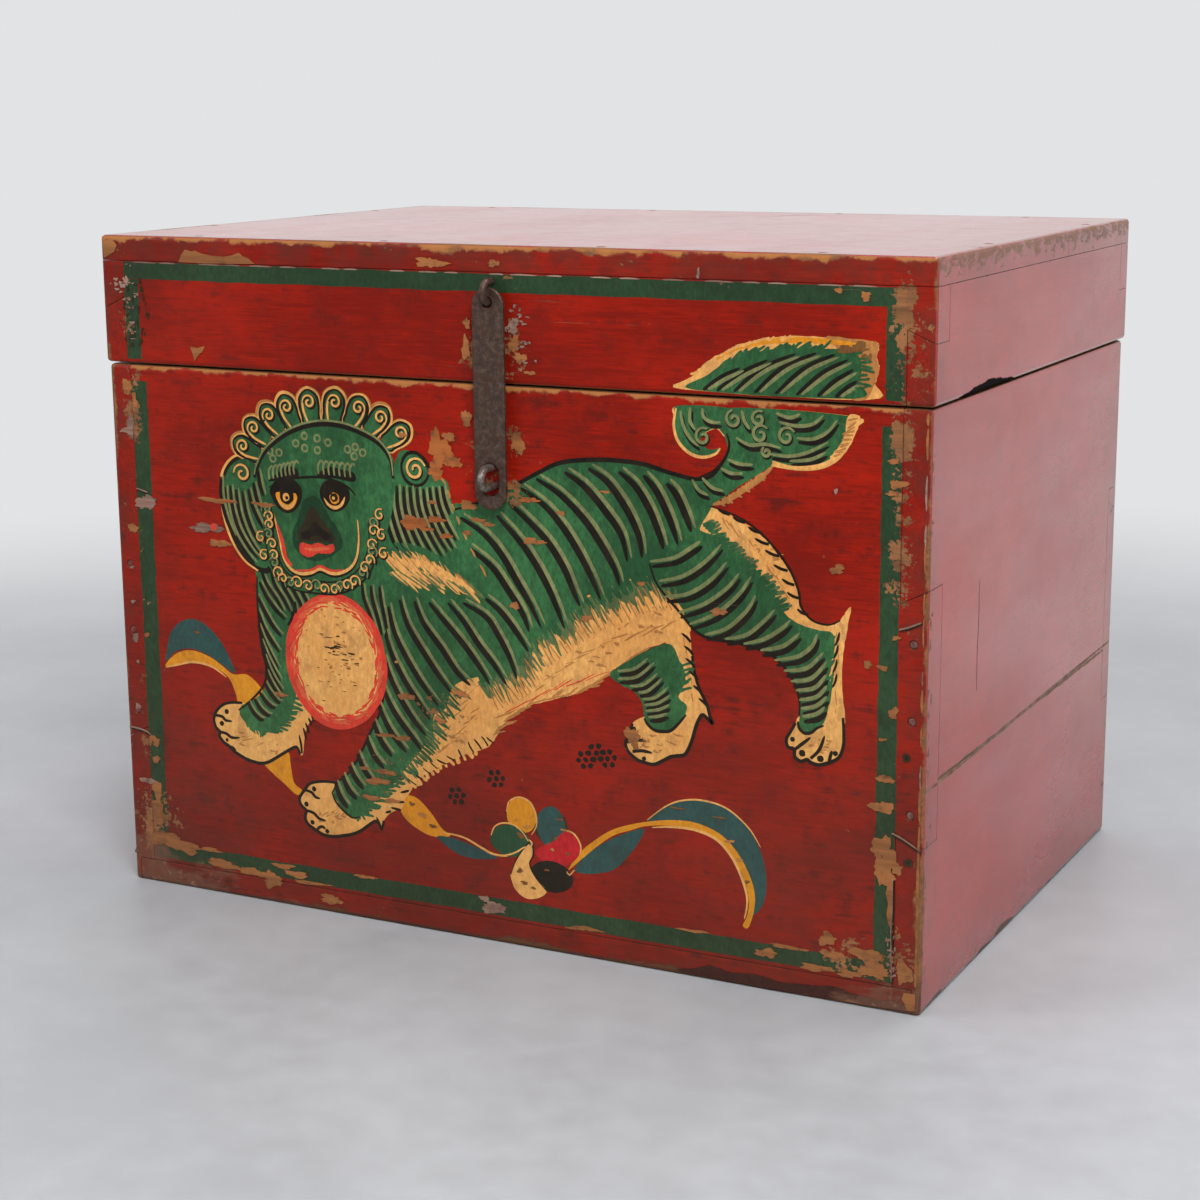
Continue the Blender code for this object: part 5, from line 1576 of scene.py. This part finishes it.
print("petals 6, ribbons 2, dot flowers 5")

# %% [markdown]
# Last come the losses that are too big and too particular for noise: places where knocks and rubbing
# took the paint off. They follow the photograph one by one, each with its own broken outline.

# %% Worn places
WOOD_FLAKES = {
    "case_front": [(-188, 252, 11, 1.8), (-154, 252, 8, 1.3), (-188, 225.5, 6, 2.6), (-24, 301, 4, 2.4),
    (16, 275, 3, 1.6), (1, 252, 4, 1.2), (30, 244.5, 6, 2.0), (-12, 262, 6, 2.2), (-6, 254, 4, 1.4),
    (17.5, 206, 2.5, 2.4), (63.5, 203, 3.5, 1.6), (145, 214.5, 4.2, 2.2), (214, 244, 4, 2.4),
    (232, 194, 2.6, 1.8), (240.5, 193, 2.6, 1.6), (243, 132, 4.6, 2.2), (241.7, 116, 5.6, 3.6),
    (243.4, 92, 6.4, 7.5), (243, 80, 6, 7), (250, 83, 4, 3), (247, 169, 2.6, 3), (241, 153.7, 2, 0.9),
    (247.6, 210, 1.8, 1.3), (247.2, 292, 4, 2.6), (244, 287, 3.4, 1.2), (244.5, 304, 3, 1.4),
    (211, 36, 5, 3.4), (214, 27.6, 6, 2.6), (188, 27.6, 9, 1.2), (175, 22, 6, 2.6), (-205, 27.6, 9, 1.1),
    (-246.6, 162.4, 1.7, 1.6), (-253, 230, 4, 2.6), (-252, 318, 4, 4), (-247, 310, 2, 4),
    (-115, 8.5, 8, 2.6), (-244, 94, 3, 3), (-244, 82, 2.6, 2.4), (-244.4, 62, 4, 5), (-244, 48, 4, 7),
    (92.4, 137, 4, 6), (-150, 25, 9, 1.3), (-90, 27, 7, 1.0), (-236, 29, 16, 5.0), (-222, 26.4, 9, 3.4),
    (-196, 19.6, 13, 2.4), (-172, 17.6, 10, 2.6), (-158, 14.6, 7, 4.4), (-140, 21, 9, 1.8),
    (235, 30, 9, 4.4), (239, 22, 8, 4.0), (256, 24, 5, 6.0), (205, 18.4, 10, 1.8), (60, 18, 9, 1.4),
    (130, 27.8, 8, 0.9), (-130, 17, 12, 1.0), (224, 18, 8, 1.6), (21, 300, 4, 6), (-12, 312, 3, 5),
    (-55, 300, 2.4, 1.6), (-36, 262, 2.6, 1.2), (-13, 246, 3, 1.2), (-60, 118, 5, 1.6), (-73, 95.5, 7, 1.6),
    (-79, 89, 8, 2.2), (-84, 78, 5.5, 1.7), (-69, 78, 5, 1.4), (-72, 118.5, 7, 1.0), (-57, 144, 5, 2.2),
    (-147, 135, 3.6, 1.6), (-88, 96, 3, 1.2), (-20, 150, 5, 2.0), (-34, 132, 4, 1.6), (98, 226, 2.6, 1.2),
    (48, 262, 3, 1.0), (76, 276, 2.6, 0.9)],
    "lid_front": [(-33, 399.2, 8, 3.0), (8, 400, 4, 1.6), (228, 389, 3, 2.0), (213, 391.6, 2.4, 1.2),
    (-11, 352, 2.6, 6), (-10, 366, 2.0, 3), (20, 356, 3.0, 4.4), (24, 348, 3.4, 3), (30, 340, 3, 1.2)]
}
SCUFFS = {
    "case_front": [(-197, 234.5, 10, 3.2), (0, 21, 8, 3.4), (212.6, 286, 0.8, 1.6), (-6, 26, 4, 1.4),
    (-242, 247, 6.5, 5), (-255.5, 160, 2.6, 2.4), (-254.6, 144.5, 1.0, 1.1), (-256.4, 115.3, 1.6, 2.2),
    (-251, 294, 3.0, 6), (-255, 291, 4.5, 1.4), (-256, 183, 1.6, 1.0), (-255.3, 205, 1.5, 0.8),
    (-251, 67, 5.5, 2.0), (-263, 19, 1.4, 2.0)], "lid_front": [(20, 366, 3, 4), (133, 398, 1, 2.4)]
}
print("flakes listed", sum(len(flakes) for flakes in WOOD_FLAKES.values()))

# %% [markdown]
# The corners have suffered most: square holes of old nails, corners where the wood itself has broken, a dark
# foot at the right, and cracks along the joints with a pale line of splinters beside the black. Down the
# front's right edge runs a broken pale line that is worn wood and painted highlight together.

# %% Broken corners and cracks
NAIL_MARKS = [(254.8, 145), (257, 87)]
for u, v in NAIL_MARKS:
    flake("umber", (u, v), (2.3, 2.3), coat=13, count=16, rough=0.2)
    disc("black", 13.5, (u, v), 1.0)
BROKEN = [
    ("lid_front", [(-208.2, 395), (-206, 399.4), (-203, 402.6), (-199, 401.6), (-196, 402.1),
    (-191.7, 400.5), (-184, 399.4), (-175.7, 399), (-169, 400), (-164.3, 401.7), (-161.6, 399.6),
    (-158, 398.6), (-153.3, 395.4), (-170, 395), (-190, 394.8)]),
    ("lid_front", [(-202.4, 344.6), (-197, 344.2), (-191.6, 345.6), (-193.6, 342), (-196, 340.6),
    (-199.6, 336.4), (-200.6, 340)]), ("lid_front",
    [(-264, 396), (-264.6, 406), (-258, 408), (-254, 404), (-256, 400), (-260, 398)]),
    ("case_front", [(248.5, 76), (248.6, 48), (246.6, 50), (245.2, 56), (246.2, 62), (244.6, 68),
    (246, 74)]), ("case_front", [(256, 12.4), (262.4, 12.8), (262.8, 3.4), (258, 2.8), (256.8, 6),
    (255, 9)])
]
for surface, outline in BROKEN:
    patch("bare_wood", 14, outline, surface, sharp=True)
sprinkle(
    "umber", 30, lambda: (chance.gauss(-244.0, 5.0), chance.uniform(343, 384)), (0.3, 1.3), (0.3, 2.2),
    "lid_front", 9
)
SCRATCHED = [
    (22, 368, 5.0, 6.0, 16), (24, 352, 4.0, 4.0, 8), (-252, 381, 4.0, 2.4, 12), (-246, 364, 4.5, 12.0, 26)
]
for u, v, wide, high, number in SCRATCHED:
    sprinkle(
        "pale_scuff", number, lambda: (chance.gauss(u, wide), chance.gauss(v, high)), (0.4, 1.6),
        (0.3, 1.1), "lid_front", 15
    )
BURNT_FOOT = [
    (128, 2.2), (130, 5), (140, 9.0), (152, 7), (168, 8.2), (184, 6.4), (200, 7.4), (214, 9.0), (226, 7),
    (240, 6.2), (253, 6.6), (253, 2.2)
]
patch("burnt_red", 12, BURNT_FOOT, ragged=0.4)
stroke("bare_wood", 13, [(262.8, 108), (262.5, 80), (262.8, 50), (262.4, 17)], 1.5, ends=(0.4, 0.6))
# A broken pale line down the front's right edge above the crack: partly worn wood, partly a painted
# highlight of the rounded corner.
BELOW_SPLIT = 330
for start in range(112, 322, 19):
    low = start + chance.uniform(-4, 4)
    high = min(low + chance.uniform(7, 19), BELOW_SPLIT)
    line = [(262.9, low), (262.6, (low + high) / 2), (262.9, high)]
    stroke(
        chance.choice(("bare_wood", "pale_scuff")), 13, line, chance.uniform(0.7, 1.5), ends=(0.2, 0.2),
        steps=4
    )
sprinkle(
    "pale_scuff", 16, lambda: (chance.gauss(248.2, 1.4), chance.uniform(17, 44)), (0.4, 1.3), (0.6, 2.0),
    coat=15
)
CRACKS = [
    [(248.9, 76), (249.2, 60), (248.8, 45), (249.3, 30), (249.2, 17)],
    [(-263.5, 100.4), (-258, 100.0), (-251, 98.8), (-246.4, 96.2)],
    [(247.7, 101.5), (253, 99.2), (258, 96.6), (264.0, 93.2)],
    [(-248.6, 254.5), (-245, 253.6), (-240, 252.4)], [(249.6, 214), (255, 215.6), (262, 219)]
]
for line in CRACKS:
    stroke("pale_scuff", 15, [(u - 0.4, v + 0.7) for u, v in line], 1.3, ends=(0.5, 0.3))
    stroke("black", 16, line, 0.9, ends=(0.4, 0.6))
print("broken places", len(BROKEN), "cracks", len(CRACKS))

# %% [markdown]
# Now the listed flakes go on, in bare wood, in fresh orange wood and as pale scuffs, and after them the
# fine marks: a pale line under the top board, a crack and a seam on the right side, and smudges in the fur.

# %% Flakes, scuffs and smudges
made = 0
ORANGE_FLAKES = {
    "case_front": [(-30, 293, 7, 10), (-33, 281, 5.5, 5), (-21, 286, 5, 3), (-49, 249, 8, 4.4),
    (-41, 246, 4, 1.4), (-34, 252, 5, 2), (27.5, 268, 5.5, 1.6), (-27, 243, 4, 1.4), (-181, 252, 5, 1.0)]
}
for paint, places in (("bare_wood", WOOD_FLAKES), ("orange_wood", ORANGE_FLAKES), ("pale_scuff", SCUFFS)):
    for surface, flakes in places.items():
        for u, v, rx, ry in flakes:
            flake(paint, (u, v), (rx, ry), surface)
            made += 1
disc("rim_red", 15, (-191.5, 235.5), 2.2)
for start in range(-240, 240, 22):
    u = start + chance.uniform(-6, 6)
    stroke(
        "pale_scuff", 3, [(u, 394.0), (u + 6, 394.2), (u + chance.uniform(9, 18), 393.9)], 0.9, "lid_front",
        (0.3, 0.1), 3
    )
stroke("black", 1, [(-100, 163), (-100.6, 185), (-99.4, 207), (-100.4, 227)], 0.9, "case_right", (0.3, 0.1))
stroke(
    "pale_scuff", 1, [(-182, 126.5), (-120, 127), (-40, 128.6), (60, 130), (180, 131.4)], 2.2, "case_right",
    (0.6, 0.5), 12
)
sprinkle(
    "pale_scuff", 34, lambda: (-182.5 + abs(chance.gauss(0.0, 3.2)), chance.uniform(14, 322)), (0.4, 1.3),
    (0.7, 2.6), "case_right", 2, 14
)
SMUDGES = [
    (20, 160, 26, 10), (60, 185, 30, 12), (95, 205, 18, 10), (-20, 128, 22, 12), (-110, 62, 14, 8),
    (-165, 102, 18, 8), (110, 135, 14, 7), (170, 250, 14, 8), (205, 146, 8, 6)
]
PER_SMUDGE = 7


def smudge(u, v, wide, high):
    """A few dull flakes close together in the pale fur."""
    sprinkle(
        "tan", PER_SMUDGE,
        lambda: (u + chance.uniform(-wide, wide) * 0.8, v + chance.uniform(-high, high) * 0.8),
        (0.8, 2.6), (0.4, 1.1), coat=3.9, count=14, rough=0.6,
    )


for place in SMUDGES:
    smudge(*place)
print("worn places", made, "smudges", PER_SMUDGE * len(SMUDGES))

# %% [markdown]
# Each paint gets its own finish from the shared groups. Where the specks of the board's own wear fall,
# the wood shows through the picture as well, because both read the same place on the board.

# %% Paint finishes and objects
TONES = {
    "border_green": ((0.030, 0.074, 0.030), (0.018, 0.046, 0.019), (0.016, 0.021, 0.012)),
    "lion_green": ((0.050, 0.185, 0.062), (0.020, 0.078, 0.027), (0.012, 0.036, 0.015)),
    "leaf_green": ((0.030, 0.100, 0.042), (0.018, 0.062, 0.028), (0.012, 0.028, 0.015)),
    "black": ((0.012, 0.010, 0.007), (0.007, 0.006, 0.004), (0.025, 0.014, 0.008)),
    "olive": ((0.280, 0.290, 0.115), (0.170, 0.190, 0.072), (0.070, 0.072, 0.030)),
    "cream": ((0.900, 0.480, 0.142), (0.740, 0.340, 0.088), (0.330, 0.130, 0.042)),
    "ochre": ((0.800, 0.320, 0.014), (0.660, 0.240, 0.011), (0.340, 0.110, 0.014)),
    "teal": ((0.030, 0.098, 0.090), (0.018, 0.062, 0.060), (0.030, 0.036, 0.026)),
    "rim_red": ((0.780, 0.062, 0.032), (0.640, 0.040, 0.022), (0.320, 0.028, 0.015)),
    "tan": ((0.560, 0.240, 0.065), (0.420, 0.165, 0.042), (0.200, 0.080, 0.026)),
    "soft_green": ((0.150, 0.200, 0.075), (0.090, 0.130, 0.048), (0.035, 0.050, 0.020)),
    "burnt_red": ((0.062, 0.015, 0.012), (0.042, 0.010, 0.009), (0.022, 0.008, 0.006)),
    "sepia": ((0.250, 0.105, 0.030), (0.170, 0.070, 0.020), (0.070, 0.032, 0.012)),
    "umber": ((0.042, 0.030, 0.012), (0.026, 0.021, 0.009), (0.018, 0.012, 0.007)),
    "crimson": ((0.620, 0.014, 0.022), (0.460, 0.011, 0.016), (0.140, 0.010, 0.010)),
    "coral": ((0.760, 0.150, 0.060), (0.640, 0.100, 0.042), (0.400, 0.060, 0.026)),
    "deep_green": ((0.020, 0.070, 0.026), (0.012, 0.040, 0.016), (0.008, 0.020, 0.010)),
}


def picture_paint(name, tones, box):
    material, w, shader = shader_of(name, PICTURE_IOR)
    bright, middle, dirty = (rgb(*tone) for tone in tones)
    coat = group_in(
        w, brushed_paint, Along=(40.0, 40.0, 25.0), Bright=bright, Middle=middle, Dirty=dirty, Dirt=0.55
    )
    wear = group_in(w, worn_edges, Centre=box[0], Half=box[1], Width=0.0012, Specks=0.9)
    chips = group_in(w, broken_chips)
    wood = group_in(w, wood_grain, Along=GRAIN_ACROSS, Pale=PALE_WOOD, Deep=DEEP_WOOD)
    loss = w.most(wear["Loss"], chips["Loss"])
    under = w.mix(w.times(chips["Pale"], 0.5), wood["Color"], GROUND_COAT)
    fine = w.noise(w.stretch(w.place(), (1.0, 1.0, 0.45)), 520.0, 5.0, 0.7)
    shade = w.mix(w.ease(fine, 0.34, 0.66, 0.42, 0.0), coat["Color"], dirty)
    # Painted shade: the shared mask darkens the picture toward the bottom and the left, as on the boards.
    low = group_in(w, shade_and_foot_dirt)
    shade = w.mix(w.times(low["PaintedShade"], w.ease(fine, 0.3, 0.6, 0.10, 0.42)), shade, rgb(0.070, 0.045, 0.025))
    shade = w.mix(loss, shade, under)
    brown = w.mix(w.times(chips["Pale"], 0.8), *HANDLED)
    shade = w.mix(w.times(low["Corner"], w.ease(fine, 0.3, 0.6, 0.95, 0.6)), shade, brown)
    w.feed(shader.inputs["Base Color"], shade)
    w.feed(shader.inputs["Roughness"], w.plus(coat["Rough"], w.times(loss, 0.25)))
    height = w.minus(w.times(coat["Height"], 0.6), loss)
    relief(w, shader, height, 0.5, 0.00025)
    return material


def flake_finish(name, pale, deep):
    material, w, shader = shader_of(name, FLAKE_IOR)
    wood = group_in(w, wood_grain, Along=GRAIN_ACROSS, Pale=pale, Deep=deep)
    soot = w.noise(w.place(), 130.0, 5.0, 0.65)
    low = group_in(w, shade_and_foot_dirt)
    worn = w.mix(w.ease(soot, 0.5, 0.72, 0.0, 0.75), wood["Color"], rgb(0.085, 0.045, 0.026))
    # Painted shade: the flakes, too, are darker toward the bottom and the left.
    w.feed(shader.inputs["Base Color"], w.mix(w.times(low["PaintedShade"], 0.55), worn, rgb(0.110, 0.056, 0.030)))
    w.feed(shader.inputs["Roughness"], w.ease(soot, 0.3, 0.7, 0.5, 0.72))
    relief(w, shader, wood["Height"], 0.6, 0.0004)
    return material


WOODS = {
    "bare_wood": (rgb(0.40, 0.150, 0.046), rgb(0.23, 0.086, 0.029)),
    "orange_wood": (rgb(0.42, 0.125, 0.030), rgb(0.25, 0.070, 0.018)),
    "pale_scuff": (rgb(0.36, 0.225, 0.17), rgb(0.17, 0.090, 0.066)),
}
finishes = {}
total = 0
for (surface, paint), bm in coats.items():
    body = SURFACES[surface][0]
    label = f"{paint}_{body}"
    if label not in finishes:
        if paint in WOODS:
            finishes[label] = flake_finish(label, *WOODS[paint])
        else:
            finishes[label] = picture_paint(label, TONES[paint], CASE_BOX if body == "case" else LID_BOX)
    name = f"{surface}_{paint}"
    mesh = bpy.data.meshes.new(name)
    bm.to_mesh(mesh)
    bm.free()
    mesh.materials.append(finishes[label])
    obj = bpy.data.objects.new(name, mesh)
    bpy.context.scene.collection.objects.link(obj)
    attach(obj, body)
    total += len(mesh.polygons)
print("paint objects", len(coats), "faces", total)

# %% [markdown]
# The stage is a wide bowl: a flat pale floor that curves up into a wall all the way round, so that every
# view has the same plain ground. The floor takes the shadow like any matt surface. The wall glows only for
# rays that the camera sees directly or in a reflection, so it lights nothing and still shows in the gloss.
# In a reflection the side behind the viewer is darker, as a room is, and keeps the front's colours deep.

# %% Floor and backdrop
FLOOR_RADIUS, BEND_RADIUS, WALL_TOP, SPOKES = 2.0, 0.7, 2.2, 96
BACKDROP, DARK_ROOM = rgb(0.76, 0.77, 0.78), rgb(0.30, 0.305, 0.31)
profile = [(0.0, 0.0), (0.6, 0.0), (1.2, 0.0), (FLOOR_RADIUS, 0.0)]
for k in range(1, 13):
    a = math.pi / 2 * k / 12
    profile.append((FLOOR_RADIUS + BEND_RADIUS * math.sin(a), BEND_RADIUS * (1 - math.cos(a))))
profile.append((FLOOR_RADIUS + BEND_RADIUS, WALL_TOP))
bm = bmesh.new()
rings_made = []
turns = [2 * math.pi * i / SPOKES for i in range(SPOKES)]
for r, z in profile[1:]:
    rings_made.append([bm.verts.new((r * math.cos(a), r * math.sin(a), z)) for a in turns])
centre_vert = bm.verts.new((0.0, 0.0, 0.0))
for i in range(SPOKES):
    j = (i + 1) % SPOKES
    bm.faces.new((centre_vert, rings_made[0][i], rings_made[0][j]))
    for inner_ring, outer_ring in zip(rings_made, rings_made[1:]):
        bm.faces.new((inner_ring[i], outer_ring[i], outer_ring[j], inner_ring[j]))
for face in bm.faces:
    face.smooth = True
floor_mesh = bpy.data.meshes.new("floor")
bm.to_mesh(floor_mesh)
bm.free()
floor = bpy.data.objects.new("floor", floor_mesh)
bpy.context.scene.collection.objects.link(floor)

material, w, shader = shader_of("pale_floor")
spot = w.place()
x, y, z = w.parts(spot)
cloud = w.noise(spot, 2.6, 6.0, 0.6)
grains = w.noise(spot, 38.0, 4.0, 0.6)
mottled = w.plus(w.times(cloud, 0.75), w.times(grains, 0.25))
w.feed(
    shader.inputs["Base Color"], w.mix(w.ease(mottled, 0.35, 0.65), rgb(0.40, 0.41, 0.425),
    rgb(0.49, 0.50, 0.515))
)
w.feed(shader.inputs["Roughness"], w.ease(grains, 0.3, 0.7, 0.42, 0.55))
light_path = w.put("ShaderNodeLightPath")
room = w.mix(w.ease(y, -1.2, 1.0), DARK_ROOM, BACKDROP)
room = w.mix(light_path.outputs["Is Camera Ray"], room, BACKDROP)
glow = w.put("ShaderNodeEmission", {"Color": room, "Strength": 1.0})
seen = w.most(light_path.outputs["Is Camera Ray"], light_path.outputs["Is Transmission Ray"])
radius = w.math("SQRT", w.plus(w.times(x, x), w.times(y, y)))
wall = w.times(seen, w.ease(radius, 0.62, 1.5))
wall = w.most(wall, w.times(light_path.outputs["Is Glossy Ray"], w.ease(radius, 0.45, 0.80)))
blend = w.put("ShaderNodeMixShader", {0: wall, 1: shader.outputs[0], 2: glow.outputs[0]})
w.feed(material.node_tree.nodes["Material Output"].inputs["Surface"], blend.outputs[0])
floor_mesh.materials.append(material)
print("floor radius", FLOOR_RADIUS, "wall top", WALL_TOP)

# %% [markdown]
# Soft light: one large lamp from the front right and above, a weaker one from the left, and an even fill
# from the sky around. Together they bring a matt white surface to about white, so paints show as written.

# %% Lamps and sky


def lamp(name, place, target, size, power):
    data = bpy.data.lights.new(name, "AREA")
    data.shape = "DISK"
    data.size = size
    data.energy = power
    made_lamp = bpy.data.objects.new(name, data)
    made_lamp.location = place
    made_lamp.rotation_euler = (Vector(target) - Vector(place)).to_track_quat("-Z", "Y").to_euler()
    bpy.context.scene.collection.objects.link(made_lamp)
    return made_lamp


lamp("key_lamp", (1.35, -1.75, 2.0), (0.0, -0.1, 0.2), 1.3, 58.0)
lamp("fill_lamp", (-1.7, -1.5, 1.4), (0.0, 0.0, 0.2), 1.6, 16.0)
lamp("top_lamp", (0.2, 0.7, 2.4), (0.0, 0.1, 0.3), 1.8, 26.0)
world = bpy.data.worlds.new("sky")
world.use_nodes = True
sky = world.node_tree.nodes["Background"]
sky.inputs["Color"].default_value = rgb(0.36, 0.37, 0.39)
sky.inputs["Strength"].default_value = 1.0
bpy.context.scene.world = world
print("lamps 3")
